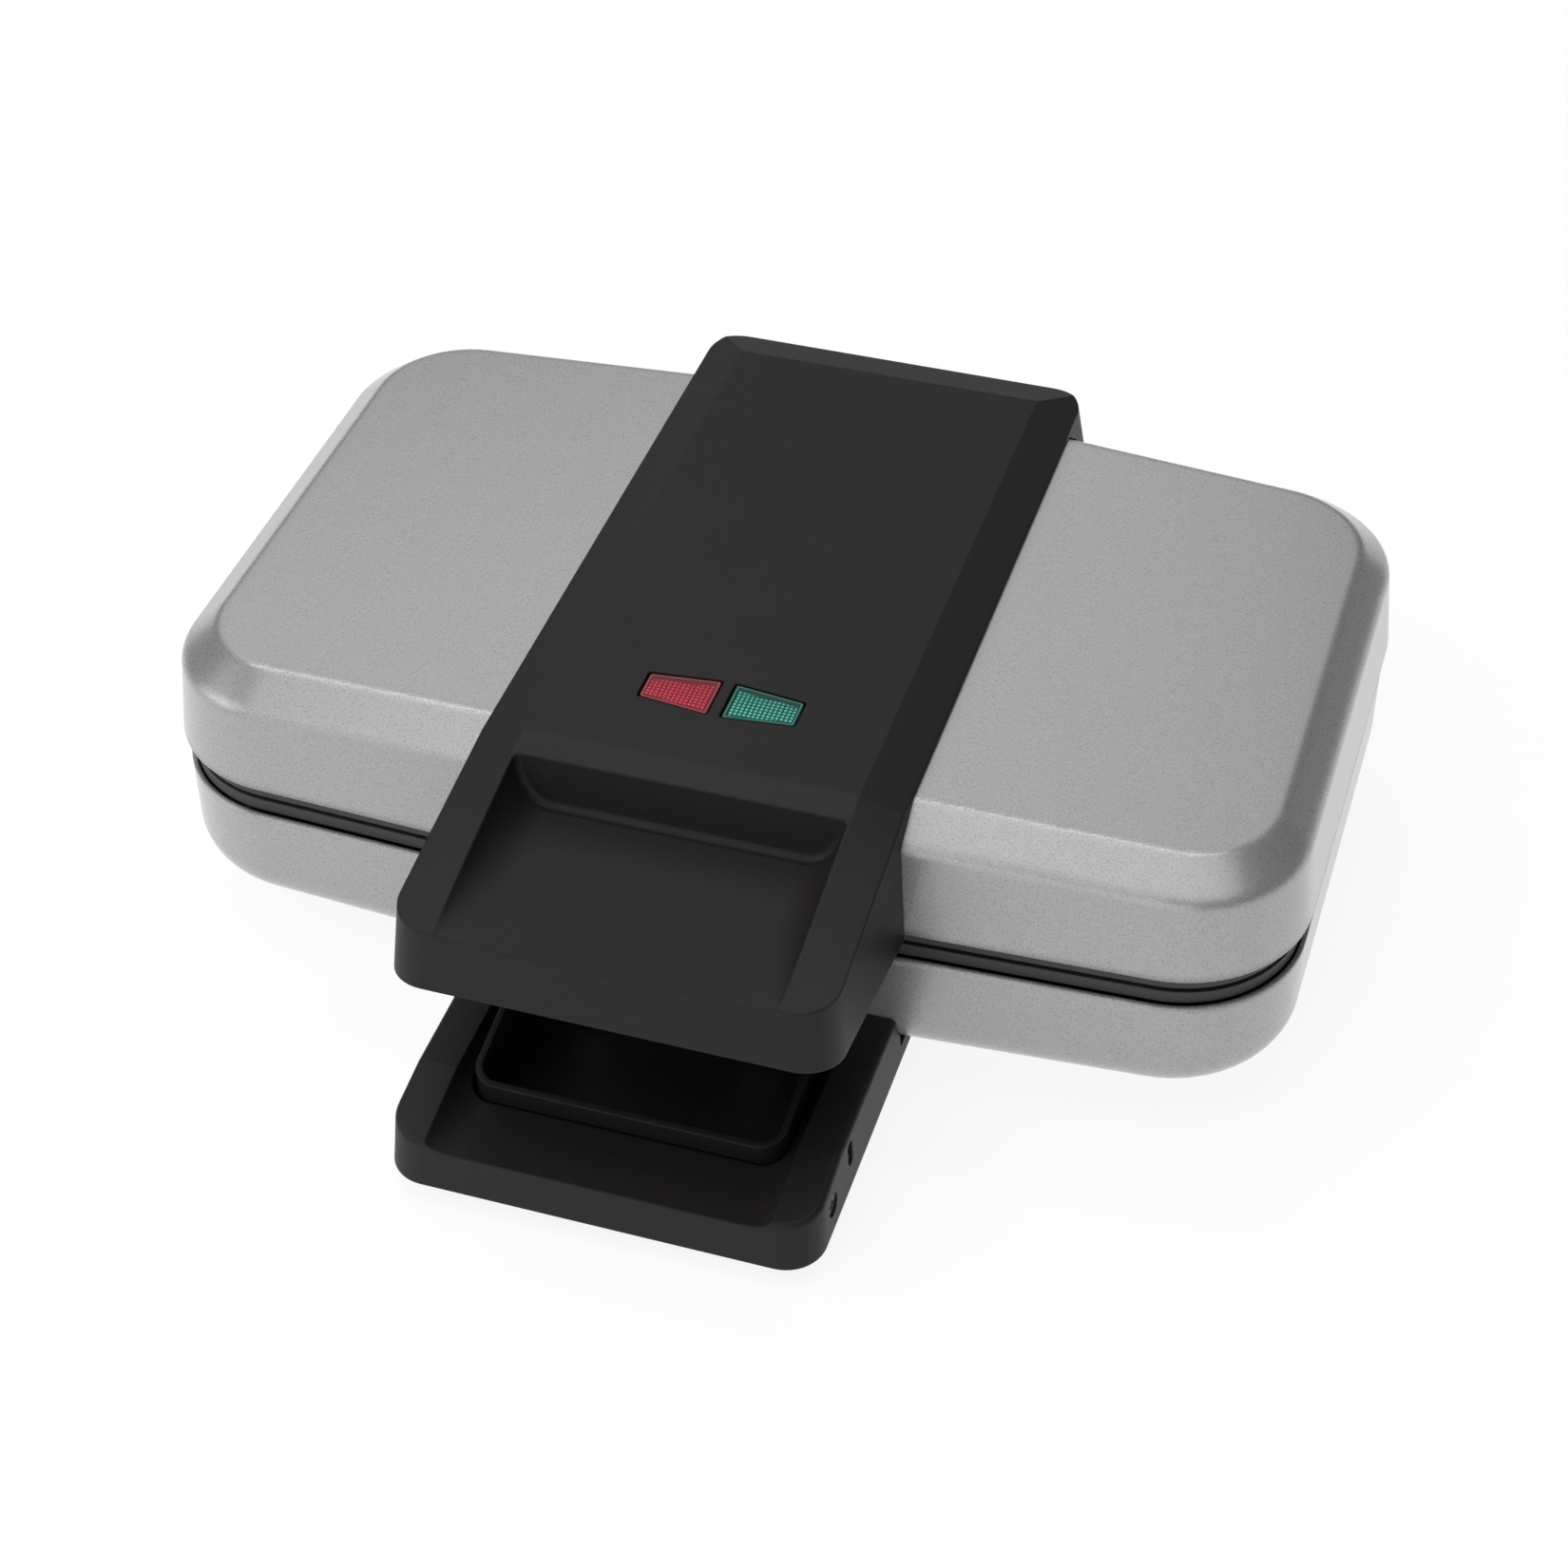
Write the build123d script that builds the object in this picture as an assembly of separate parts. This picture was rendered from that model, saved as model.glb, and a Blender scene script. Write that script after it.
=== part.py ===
"""A two-slice sandwich maker: two silver shells, a black band from hinge to handle, cooking plates
between the shells, and a rocking latch in the lower handle.

Frame: +X along the width, +Y towards the hinge, +Z up; the origin is on the table, under the
middle of the machine. All lengths are millimetres.
"""
from build123d import *
import math
import os

# ---- driving dimensions -------------------------------------------------------------------
# Shells. Heights are measured on the flat middle, which the band covers.
SHELL_HALF_WIDTH = 132.0      # upper shell, at its lower edge
SHELL_FRONT = -55.7           # front edge at the band
SHELL_BACK = 103.7            # back edge at the band
SHELL_CORNER = 30.0           # plan radius of the four corners
SHELL_WALL = 1.0
WING_TAPER = 0.040            # how fast front and back edges draw in, outside the band
ROOF_FALL = 0.037             # how fast the top falls away, outside the band
FLOOR_RISE = 0.028            # how fast the underside rises, outside the band
SPLIT_Z = 39.0                # top edge of the lower shell
SHELL_GAP = 8.6               # opening between the two shells' edges
WALL_HEIGHT = 22.5            # upper shell, lower edge to shoulder
WALL_LEAN = 2.0               # how far the wall leans in over that height
SHOULDER_SIDE = 7.3           # width of the sloping shoulder at the two ends
SHOULDER_FRONT = 10.9
SHOULDER_BACK = 7.0
SHOULDER_DROP = 5.1
SHOULDER_ROUND = 2.4
LOWER_INSET = 0.8             # the lower shell is this much smaller than the upper one
LOWER_DEPTH = 28.9
LOWER_ROUND = 10.0
WIRE_SLOT_HALF = 12.0         # openings at the back for the machine's wires
WIRE_SLOT_HEIGHT = 6.0

# Band and upper handle.
BAND_HALF_WIDTH = 47.5        # at the crease where the bevel meets the side
BAND_FLAT_HALF = 37.7         # flat part of the top
BAND_BEVEL_DROP = 3.0
BAND_SEAM = 1.3               # crease height above the shell's top
BAND_DRAFT = 0.075            # side walls widen downwards by this slope
BAND_WALL = 2.5
BAND_BACK = 112.8             # crease of the back wall
BAND_BACK_BEVEL = 11.0
BAND_BACK_LEAN = 5.8          # the back wall leans out by this much ...
BAND_BACK_DROP = 17.5         # ... over this height
BAND_CORNER = 8.5
KINK_Y = -50.1                # where the top starts to fall towards the lip
LIP_Y = -105.2                # top edge of the lip
LIP_Z = 68.7
LIP_LEAN = 2.0                # the lip's foot stands this much further forward
LIP_HEIGHT = 14.8
LIP_CROWN = 0.5               # bevel drop that is left at the lip
LIP_CORNER = 9.0
UNDERSIDE_SLOPE = 0.147       # the handle's underside falls towards the hinge
RECESS_BACK = -56.5
RECESS_LEAN = 2.7             # how far the rear wall of the recess leans
RECESS_FLOOR_Z = 66.9
RECESS_RUN_OUT = 0.8          # the floor rises by this much at the lip
RECESS_HALF_BACK = 37.3
RECESS_HALF_FRONT = 37.6
RECESS_SIDE_BACK = 8.4        # width of the hollow side walls at the rear wall ...
RECESS_SIDE_FRONT = 14.0      # ... and at the lip
RECESS_OVER_BACK = 1.6        # the side walls stand upright this far above the top ...
RECESS_OVER_FRONT = 0.3       # ... and this far at the lip
RECESS_SOFT = 1.6             # rounding between the rear wall and the rest
RECESS_EDGE_ROUND = 0.4       # along the upper edge
COVER_THICK = 2.5
COVER_CORNER = 6.5
COVER_SCREW_LENGTH = 11.0
COVER_BACK_GAP = 1.2          # between the cover and the shell

# Indicator lenses.
LENS_INNER_X = 1.6
LENS_OUTER_X = 17.8
LENS_CENTRE_Y = -28.4
LENS_INNER_LENGTH = 11.7
LENS_OUTER_LENGTH = 8.1
LENS_THICK = 3.2
LENS_GAP = 0.35
LENS_SINK = 0.2
LAMP_R = 2.6
LAMP_LENGTH = 13.0

# Base and lower handle.
BASE_BOTTOM = 5.7
BASE_SIDE_ROOM = 4.1          # from the latch's cheeks to the base's bottom edge
BASE_DRAFT = 0.060            # side walls lean in upwards by this slope
BASE_FRONT = -118.6
BASE_FRONT_LEAN = 0.13        # slope of the front face
BASE_BACK = 116.0
BASE_WALL = 2.5
BASE_CORNER = 9.0
BASE_BACK_CORNER = 6.0
RIM_LEVEL = 20.6              # side rims beside the shell
RIM_FRONT_Z = 17.2            # side rims at the front edge
RIM_KINK_Y = -97.0            # where the rims start to fall
RIM_ROUND = 1.5               # outer edge of the side rims
SCOOP_HALF_WIDTH = 38.8
SCOOP_SIDE = 7.0              # width of the scoop's hollow side walls
SCOOP_FLOOR_Z = 15.6
SCOOP_OVER = 0.4              # the side walls stand upright this far above the rims
SCOOP_SKIN = 2.4
HANDLE_HOLLOW_BACK = -59.5
REAR_TOP_Z = 31.0
REAR_FRONT = 60.0
REAR_INSIDE_HALF = 43.0
SPINE_POCKET_DEPTH = 1.9
SPINE_POCKET_LENGTH = 22.0
SPINE_POCKET_PITCH = 25.0
SPINE_POCKET_ROWS = 4
SPINE_POCKET_Y = -18.0
SPINE_POCKET_X = 22.5
SPINE_POCKET_HALF = 19.0

# Latch.
CUP_HALF_WIDTH = 35.4
CUP_FRONT = -99.6
CUP_BACK = -62.5
CUP_WALL = 1.5
CUP_TOP = 24.0                # level part of the rim, at the back
CUP_RIM_Z = 23.5              # rim height at the reference line below
CUP_RIM_Y = -81.1
CUP_RIM_SLOPE = 0.1875
CUP_CORNER = 6.0
CUP_BOTTOM = 7.5
CUP_CLEAR = 0.8
LATCH_PIVOT_Y = -103.8
LATCH_PIVOT_Z = 12.5
LATCH_SCREW_R = 1.6
LATCH_HEAD_R = 2.7
LATCH_HEAD_H = 1.6
LATCH_BOSS_R = 3.6
CHEEK_CLEAR = 0.7             # between the scoop's skin and the latch's cheeks
LATCH_CHEEK_WIDTH = 2.9
LATCH_FIT = 0.06
LATCH_PIN_Y = -90.9
LATCH_PIN_Z = 13.2
LATCH_PIN_R = 1.1
LATCH_SLOT_WIDTH = 3.2
LATCH_SLOT_HEIGHT = 6.6
LATCH_TIE_BACK = -93.0
LATCH_TIE_TOP = 10.4
HOOK_X = 20.0
HOOK_WIDTH = 8.0
HOOK_THICK = 1.5
HOOK_FOOT_Z = 12.0
HOOK_TOP = 41.0
NOSE_HEIGHT = 2.8
NOSE_REACH = 3.5              # from the hook's back face to the tip of its nose
RIVET_Z = 17.0
RIVET_R = 1.2
RIVET_HEAD_R = 2.3
RIVET_HEAD_H = 0.9
CATCH_GAP = 0.5               # between the nose and the catch plate, latch released
CATCH_THICK = 1.2
CATCH_HALF_WIDTH = 28.0
CATCH_FOOT_Z = 36.5
CATCH_FLANGE = 10.0
CATCH_SLOT_SIDE = 1.0         # air beside and above the nose in its slot
CATCH_SCREW_X = 12.0
CATCH_SCREW_IN = 5.5          # screws, in front of the catch plate's face
CATCH_HEAD_R = 2.4
HANDLE_BOTTOM_THICK = 1.5

# Hinge.
HINGE_Y = 110.0
HINGE_RISE = 4.2              # hinge axis above the lower shell's edge
HINGE_PIN_R = 2.0
HINGE_FIT = 0.06
HINGE_EYE_R = 5.0
EAR_IN = 34.6
EAR_WIDTH = 8.4
KNUCKLE_WIDTH = 7.6
HINGE_SIDE_GAP = 0.5
LID_REAR_CLEAR = 8.0          # the lid's back wall ends this far above the hinge axis

# Plates, heaters and what carries them.
PLATE_INSET = 2.2             # plate edge inside the upper shell's outer face
PLATE_STANDOFF = 0.5          # dark line between plate and lower shell
PLATE_FLANGE = 3.1
PLATE_GAP = 1.2               # between the two flanges
PLATE_SKIN = 2.4
SEAL_HEIGHT = 0.6
SEAL_WIDTH = 2.4
POCKET_IN = 8.0               # pockets, from the middle line
POCKET_OUT = 118.0
POCKET_FRONT = -34.0
POCKET_BACK = 80.0
POCKET_DEPTH = 11.5
POCKET_DRAFT = 7.0            # pocket floor drawn in by this much
POCKET_RIDGE = 5.0            # ridge between the two triangles
POCKET_ROUND = 9.0
POST_X = 30.0
POST_R = 3.6
POST_FRONT_Y = -38.0
POST_BACK_Y = 86.4
HEATER_R = 3.2
HEATER_HALF_X = 84.0
HEATER_FRONT = -4.0
HEATER_BACK = 60.0
HEATER_BEND = 20.0
HEATER_END_X = 9.0
SHEET = 0.8
REFLECTOR_INSET = 12.0
REFLECTOR_RIM = 5.0
STAT_R = 6.5
STAT_HEIGHT = 7.0
FUSE_R = 2.0
FUSE_LENGTH = 14.0

# Feet and fasteners.
FOOT_R = 6.5
FOOT_X = 38.0
FOOT_FRONT_Y = -46.0
FOOT_BACK_Y = 92.0
FOOT_PLUG_R = 2.5
SCREW_R = 1.5
SCREW_HEAD_R = 2.9
SCREW_HEAD_H = 1.6
SCREW_BITE = 9.0              # thread length in the post
BAND_BOSS_X = 26.0
BAND_BOSS_Y = 40.0
BAND_BOSS_R = 3.4
BAND_BOSS_LENGTH = 7.0
COVER_BOSS_X = 38.0
COVER_BOSS_Y = -92.0
COVER_BOSS_R = 3.4
GLAND_Z = 18.0
GLAND_R = 6.0
GLAND_BORE_R = 3.5
TERMINAL_SIZE = (26.0, 7.0, 9.0)
FIT = 0.3                     # air left between pieces that only sit beside each other
SNUG = 0.05                   # air round a screw or pin in its own hole

# ---- worked out from the above --------------------------------------------------------------
EDGE_Z = SPLIT_Z + SHELL_GAP                 # lower edge of the upper shell
SHOULDER_Z = EDGE_Z + WALL_HEIGHT
ROOF_Z = SHOULDER_Z + SHOULDER_DROP
CREASE_Z = ROOF_Z + BAND_SEAM
TOP_Z = CREASE_Z + BAND_BEVEL_DROP
FLOOR_Z = SPLIT_Z - LOWER_DEPTH
INNER_FLOOR_Z = FLOOR_Z + SHELL_WALL
INNER_ROOF_Z = ROOF_Z - SHELL_WALL
LOWER_BACK_Z = SPLIT_Z + PLATE_STANDOFF      # underside of the lower plate's flange
LOWER_FACE_Z = LOWER_BACK_Z + PLATE_FLANGE   # cooking face of the lower plate
UPPER_FACE_Z = LOWER_FACE_Z + PLATE_GAP
UPPER_BACK_Z = EDGE_Z - FIT                  # upper side of the upper plate's flange
LOWER_BULGE_Z = LOWER_FACE_Z - POCKET_DEPTH - PLATE_SKIN
UPPER_BULGE_Z = UPPER_FACE_Z + POCKET_DEPTH + PLATE_SKIN
SPINE_TOP = FLOOR_Z - FIT
HINGE_Z = SPLIT_Z + HINGE_RISE
LID_REAR_Z = HINGE_Z + LID_REAR_CLEAR
BAND_BACK_FOOT = BAND_BACK + BAND_BACK_LEAN
LIP_FOOT_Y = LIP_Y - LIP_LEAN
LIP_FOOT_Z = LIP_Z - LIP_HEIGHT
LATCH_CHEEK_IN = SCOOP_HALF_WIDTH + SCOOP_SKIN + CHEEK_CLEAR
CHEEK_OUT = LATCH_CHEEK_IN + LATCH_CHEEK_WIDTH
BASE_HALF_WIDTH = CHEEK_OUT + BASE_SIDE_ROOM
WIDE = 1.3 * max(BAND_HALF_WIDTH, BASE_HALF_WIDTH)   # past both sides of band and base
HOOK_BACK = CUP_BACK - CUP_WALL              # the hooks lie on the cup's rear wall, inside
HOOK_FRONT = HOOK_BACK - HOOK_THICK
NOSE_Y = HOOK_BACK + NOSE_REACH
CATCH_Y = NOSE_Y + CATCH_GAP                 # front face of the catch plate


def underside_z(y):
    """Height of the upper handle's underside."""
    return LIP_FOOT_Z + UNDERSIDE_SLOPE * (LIP_FOOT_Y - y)


def rim_z(y):
    """Height of the lower handle's side rims."""
    slope = (RIM_LEVEL - RIM_FRONT_Z) / (RIM_KINK_Y - BASE_FRONT)
    return min(RIM_LEVEL, RIM_LEVEL + slope * (y - RIM_KINK_Y))


def base_half(z):
    """Half-width of the base at a height."""
    return BASE_HALF_WIDTH - BASE_DRAFT * (z - BASE_BOTTOM)


# ---- small helpers --------------------------------------------------------------------------
def outline(points):
    """Flat face through 3-D points."""
    return make_face(Polyline(*points, close=True))


def mirrored(solid):
    """The same solid on the other side of the machine."""
    return mirror(solid, about=Plane.YZ)


def across(points_yz, x0, x1):
    """Side-view outline, given as (y, z) points, carried from x0 to x1."""
    return extrude(outline([(x0, y, z) for y, z in points_yz]), amount=x1 - x0, dir=(1, 0, 0))


def rod(x, y, z0, z1, radius):
    """Upright round bar between two heights."""
    return Pos(x, y, (z0 + z1) / 2) * Cylinder(radius, abs(z1 - z0))


def shaft(x0, x1, y, z, radius):
    """Round bar along the width."""
    return Pos((x0 + x1) / 2, y, z) * Rot(0, 90, 0) * Cylinder(radius, abs(x1 - x0))


def block(x0, x1, y0, y1, z0, z1):
    """Square-edged block between the given limits."""
    return Pos((x0 + x1) / 2, (y0 + y1) / 2, (z0 + z1) / 2) * Box(x1 - x0, y1 - y0, z1 - z0)


def plan_face(half, y0, y1, z, front_round, back_round):
    """Level rectangle, symmetrical in X, with rounded front and back corners."""
    face = make_face(Polyline((-half, y0), (half, y0), (half, y1), (-half, y1), close=True))
    corners = face.vertices().sort_by(Axis.Y)
    face = fillet(corners[:2], front_round)
    corners = [v for v in face.vertices() if abs(v.Y - y1) < 1e-6]
    if back_round > 0:
        face = fillet(corners, back_round)
    return Pos(0, 0, z) * face


def screw(x, y, z_head, tip_z, head_r=None):
    """Pan-head screw; the outer face of its head is at z_head, its tip at tip_z."""
    head_r = head_r or SCREW_HEAD_R
    sign = 1 if tip_z > z_head else -1
    seat = z_head + sign * SCREW_HEAD_H
    body = rod(x, y, z_head, seat, head_r) + rod(x, y, seat, tip_z, SCREW_R)
    cross = Box(head_r * 1.2, 0.8, 1.2) + Box(0.8, head_r * 1.2, 1.2)
    return body - Pos(x, y, z_head) * cross


def solids(*shapes):
    """Several separate solids as one group."""
    return Compound(children=list(shapes))


# ---- shells ---------------------------------------------------------------------------------
def spread(inset):
    """Insets at the ends, at the front and at the back."""
    return inset if isinstance(inset, tuple) else (inset, inset, inset)


def wing_section(inset, z, fall):
    """Right half of a shell's plan outline, drawn in by inset, on a plane that falls outwards."""
    at_side, at_front, at_back = spread(inset)
    half = SHELL_HALF_WIDTH - at_side
    draw_in = WING_TAPER * (half - BAND_HALF_WIDTH)
    y0 = SHELL_FRONT + at_front
    y1 = SHELL_BACK - at_back
    reach = (half - BAND_HALF_WIDTH) * math.hypot(1, fall)
    plane = Plane(origin=(BAND_HALF_WIDTH, 0, z), x_dir=(1, 0, -fall), z_dir=(fall, 0, 1))
    corners = [(0, y0), (reach, y0 + draw_in), (reach, y1 - draw_in), (0, y1)]
    face = make_face(Polyline(*corners, close=True))
    outer = face.vertices().sort_by(Axis.X)[-2:]
    return plane * fillet(outer, SHELL_CORNER - at_side)


def shell_body(levels):
    """Solid through several plan outlines, each given as (inset, z, fall)."""
    wing = None
    for low, high in zip(levels, levels[1:]):
        part = loft([wing_section(*low), wing_section(*high)], ruled=True)
        wing = part if wing is None else wing + part
    front = [(SHELL_FRONT + spread(inset)[1], z) for inset, z, _ in levels]
    back = [(SHELL_BACK - spread(inset)[2], z) for inset, z, _ in reversed(levels)]
    return across(front + back, -BAND_HALF_WIDTH, BAND_HALF_WIDTH) + wing + mirrored(wing)


def upper_levels(shrink, extra):
    """Outlines of the upper shell, drawn in by a wall and carried on below the edge."""
    below = WALL_LEAN * extra / WALL_HEIGHT
    roof = tuple(WALL_LEAN + width + 0.7 * shrink
                 for width in (SHOULDER_SIDE, SHOULDER_FRONT, SHOULDER_BACK))
    return [(shrink - below, EDGE_Z - extra, 0.0),
            (WALL_LEAN + shrink, SHOULDER_Z - 0.5 * shrink, ROOF_FALL),
            (roof, ROOF_Z - shrink, ROOF_FALL)]


def lower_body(shrink, extra):
    """Solid form of the lower shell with its rounded bottom edge, carried on above the edge."""
    inset = LOWER_INSET + shrink
    floor = FLOOR_Z + shrink
    body = shell_body([(inset, floor, -FLOOR_RISE), (inset, SPLIT_Z + extra, 0.0)])
    low = [e for e in body.edges()
           if e.bounding_box().max.Z < floor + 4.0 and not is_band_seam(e)]
    return fillet(low, LOWER_ROUND - shrink)


def is_band_seam(edge):
    """True for the line where a wing joins the flat middle."""
    box = edge.bounding_box()
    return box.size.Y > 50 and abs(abs(edge.center().X) - BAND_HALF_WIDTH) < 0.01


def make_upper_shell():
    """Pressed lid: sloping roof, soft shoulder, openings under the band."""
    body = shell_body(upper_levels(0.0, 0.0))
    body = round_shoulder(body)
    body -= shell_body(upper_levels(SHELL_WALL, 1.0))
    lamp_half = LENS_OUTER_X + 1.5
    reach = LENS_INNER_LENGTH / 2 + 1.5
    body -= block(-lamp_half, lamp_half, LENS_CENTRE_Y - reach, LENS_CENTRE_Y + reach,
                  INNER_ROOF_Z - 1, ROOF_Z + 1)
    for side in (-1, 1):
        body -= rod(side * BAND_BOSS_X, BAND_BOSS_Y, INNER_ROOF_Z - 1, ROOF_Z + 1, BAND_BOSS_R + FIT)
        for y in (POST_FRONT_Y, POST_BACK_Y):
            body -= rod(side * POST_X, y, INNER_ROOF_Z - 1, ROOF_Z + 1, SCREW_R + SNUG)
    low = EDGE_Z + WIRE_SLOT_HEIGHT
    body -= block(-WIRE_SLOT_HALF, WIRE_SLOT_HALF, SHELL_BACK - 8, SHELL_BACK + 1, low, low + WIRE_SLOT_HEIGHT)
    return body


def round_shoulder(body):
    """Soften the two long edges of the shoulder."""
    def on_shoulder(edge):
        lowest = SHOULDER_Z - ROOF_FALL * (SHELL_HALF_WIDTH - BAND_HALF_WIDTH) - 0.5
        return edge.bounding_box().min.Z > lowest and not is_band_seam(edge)
    edges = [e for e in body.edges() if on_shoulder(e) and not runs_down(e)]
    return fillet(edges, SHOULDER_ROUND)


def runs_down(edge):
    """True for a seam that runs down the shoulder from the roof edge."""
    ends = edge.vertices()
    drop = abs(ends[0].Z - ends[-1].Z)
    return drop > 0.6 * SHOULDER_DROP


def make_lower_shell():
    """Pressed lower pan."""
    body = lower_body(0.0, 0.0) - lower_body(SHELL_WALL, 1.0)
    for side in (-1, 1):
        for y in (POST_FRONT_Y, POST_BACK_Y):
            body -= rod(side * POST_X, y, FLOOR_Z - 1, INNER_FLOOR_Z + 1, SCREW_R + SNUG)
    low = FLOOR_Z + LOWER_ROUND + 1
    body -= block(-WIRE_SLOT_HALF, WIRE_SLOT_HALF, SHELL_BACK - 8, SHELL_BACK + 1, low, low + WIRE_SLOT_HEIGHT)
    return body


# ---- band and upper handle ------------------------------------------------------------------
def band_section(y, top_z, crease_z, shrink, low_z):
    """Cross-section of the band: drafted sides, two bevels and a flat top."""
    def side_x(z):
        return BAND_HALF_WIDTH - shrink + BAND_DRAFT * (CREASE_Z - z)
    half = [(side_x(low_z), low_z), (side_x(crease_z), crease_z - 0.7 * shrink),
            (BAND_FLAT_HALF - 0.3 * shrink, top_z - shrink)]
    points = half + [(-x, z) for x, z in reversed(half)]
    return outline([(x, y, z) for x, z in points])


def band_side_view(shrink, extra):
    """Side view of the band without its seat on the shell."""
    back = BAND_BACK - shrink
    foot = BAND_BACK_FOOT - shrink
    lip_z = LIP_Z - shrink
    foot_y = LIP_FOOT_Y + shrink - LIP_LEAN * extra / LIP_HEIGHT
    seat_y = SHELL_FRONT + 10.0
    return [(foot, LID_REAR_Z - extra), (foot, CREASE_Z - BAND_BACK_DROP),
            (back, CREASE_Z - 0.7 * shrink), (back - BAND_BACK_BEVEL, TOP_Z - shrink),
            (KINK_Y, TOP_Z - shrink), (LIP_Y + shrink, lip_z),
            (foot_y, underside_z(foot_y) - extra), (seat_y, underside_z(seat_y) - extra),
            (seat_y, LID_REAR_Z - extra)]


def band_form(shrink, extra):
    """Solid form of band and handle, drawn in by a wall and carried on below."""
    low_z = EDGE_Z - 12
    back = band_section(BAND_BACK_FOOT + 2, TOP_Z, CREASE_Z, shrink, low_z)
    kink = band_section(KINK_Y, TOP_Z, CREASE_Z, shrink, low_z)
    run = KINK_Y - LIP_Y
    on = 1 + (LIP_LEAN + 2) / run
    front_top = TOP_Z - on * (TOP_Z - LIP_Z)
    front_crease = CREASE_Z - on * (CREASE_Z - (LIP_Z - LIP_CROWN))
    front = band_section(KINK_Y - on * run, front_top, front_crease, shrink, low_z)
    body = loft([back, kink], ruled=True) + loft([kink, front], ruled=True)
    return body & across(band_side_view(shrink, extra), -WIDE, WIDE)


def trough_section(y, half, inner, floor, upright):
    """Upright section of a trough: a flat floor that swings up into hollow side walls."""
    pull = 0.55                                # makes the swing a quarter of an ellipse
    near = inner + pull * (half - inner)
    top = TOP_Z + 8
    side = [Bezier((x * inner, y, floor), (x * near, y, floor), (x * half, y, upright - pull * (upright - floor)),
                   (x * half, y, upright)) for x in (1, -1)]
    flat = Line((-inner, y, floor), (inner, y, floor))
    over = Polyline((half, y, upright), (half, y, top), (-half, y, top), (-half, y, upright))
    return make_face(Wire([flat, side[0], *over.edges(), side[1]]))


def recess_section(y, grow):
    """Section of the thumb recess, which gets shallower towards the lip."""
    def between(at_back, at_lip):
        return at_back + (at_lip - at_back) * (RECESS_BACK - y) / (RECESS_BACK - LIP_Y)
    half = between(RECESS_HALF_BACK, RECESS_HALF_FRONT)
    inner = half - between(RECESS_SIDE_BACK, RECESS_SIDE_FRONT)
    floor = between(RECESS_FLOOR_Z, RECESS_FLOOR_Z + RECESS_RUN_OUT)
    fall = (KINK_Y - y) * (TOP_Z - LIP_Z) / (KINK_Y - LIP_Y)
    upright = TOP_Z - fall + between(RECESS_OVER_BACK, RECESS_OVER_FRONT)
    return trough_section(y, half + grow, inner, floor - grow, upright)


def recess_form(grow):
    """Thumb recess in the upper handle: a trough closed by a leaning rear wall."""
    front = LIP_FOOT_Y - 4
    trough = loft([recess_section(RECESS_BACK + 10, grow), recess_section(front, grow)], ruled=True)
    back = RECESS_BACK + grow
    top = TOP_Z + 6
    low = RECESS_FLOOR_Z - 6
    lean = RECESS_LEAN * (top - low) / (TOP_Z - RECESS_FLOOR_Z)
    y_top = back + RECESS_LEAN * (top - TOP_Z) / (TOP_Z - RECESS_FLOOR_Z)
    tool = trough & across([(front - 1, low), (y_top - lean, low), (y_top, top), (front - 1, top)], -WIDE, WIDE)
    rear = tool.faces().sort_by(Axis.Y)[-1]
    reach = [e for e in rear.edges() if e.center().Z < TOP_Z]
    return fillet(reach, RECESS_SOFT + grow / 2)


def lens_plan(grow):
    """Plan outline of the right-hand lens."""
    inner = LENS_INNER_LENGTH / 2 + grow
    outer = LENS_OUTER_LENGTH / 2 + grow
    x0 = LENS_INNER_X - grow
    x1 = LENS_OUTER_X + grow
    y = LENS_CENTRE_Y
    face = make_face(Polyline((x0, y - inner), (x1, y - outer), (x1, y + outer), (x0, y + inner), close=True))
    return fillet(face.vertices(), 0.8)


def round_band_corners(body, shrink):
    """Round the upright corners at the lip and at the back."""
    def upright(edge, y0, y1):
        box = edge.bounding_box()
        c = edge.center()
        return y0 < c.Y < y1 and abs(c.X) > BAND_HALF_WIDTH - shrink - 1 and box.size.Z > 7
    lip = [e for e in body.edges() if upright(e, LIP_FOOT_Y - 1, LIP_Y + shrink + 1)]
    body = fillet(lip, LIP_CORNER - shrink)
    rear = [e for e in body.edges() if upright(e, BAND_BACK - shrink - 1, BAND_BACK_FOOT + 1)]
    return fillet(rear, BAND_CORNER - shrink)


def is_recess_edge(edge):
    """True for the line where the thumb recess breaks through the top, short of the lip."""
    c = edge.center()
    top = TOP_Z - (KINK_Y - c.Y) * (TOP_Z - LIP_Z) / (KINK_Y - LIP_Y)
    inside = edge.bounding_box().max.Y < KINK_Y - 3 and abs(c.X) < BAND_HALF_WIDTH - 6
    return inside and abs(c.Z - top) < 0.25 and c.Y > LIP_Y + 1


def make_top_band():
    """Band over the lid, with the upper handle, lens windows, bosses and hinge knuckles."""
    silver = shell_body(upper_levels(-FIT, 8.0))
    body = round_band_corners(band_form(0.0, 0.0), 0.0)
    body -= recess_form(0.0)
    body = fillet([e for e in body.edges() if is_recess_edge(e)], RECESS_EDGE_ROUND)
    body -= round_band_corners(band_form(BAND_WALL, 5.0), BAND_WALL) - recess_form(BAND_WALL)
    body -= silver
    for side in (1, -1):
        body += band_bosses(side) & (band_form(0.5, 0.0) - recess_form(0.5))
        body += knuckle(side) - silver
    for side in (1, -1):
        body -= band_holes(side)
    window = extrude(Pos(0, 0, ROOF_Z) * lens_plan(LENS_GAP), amount=10)
    return body - window - mirrored(window)


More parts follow.
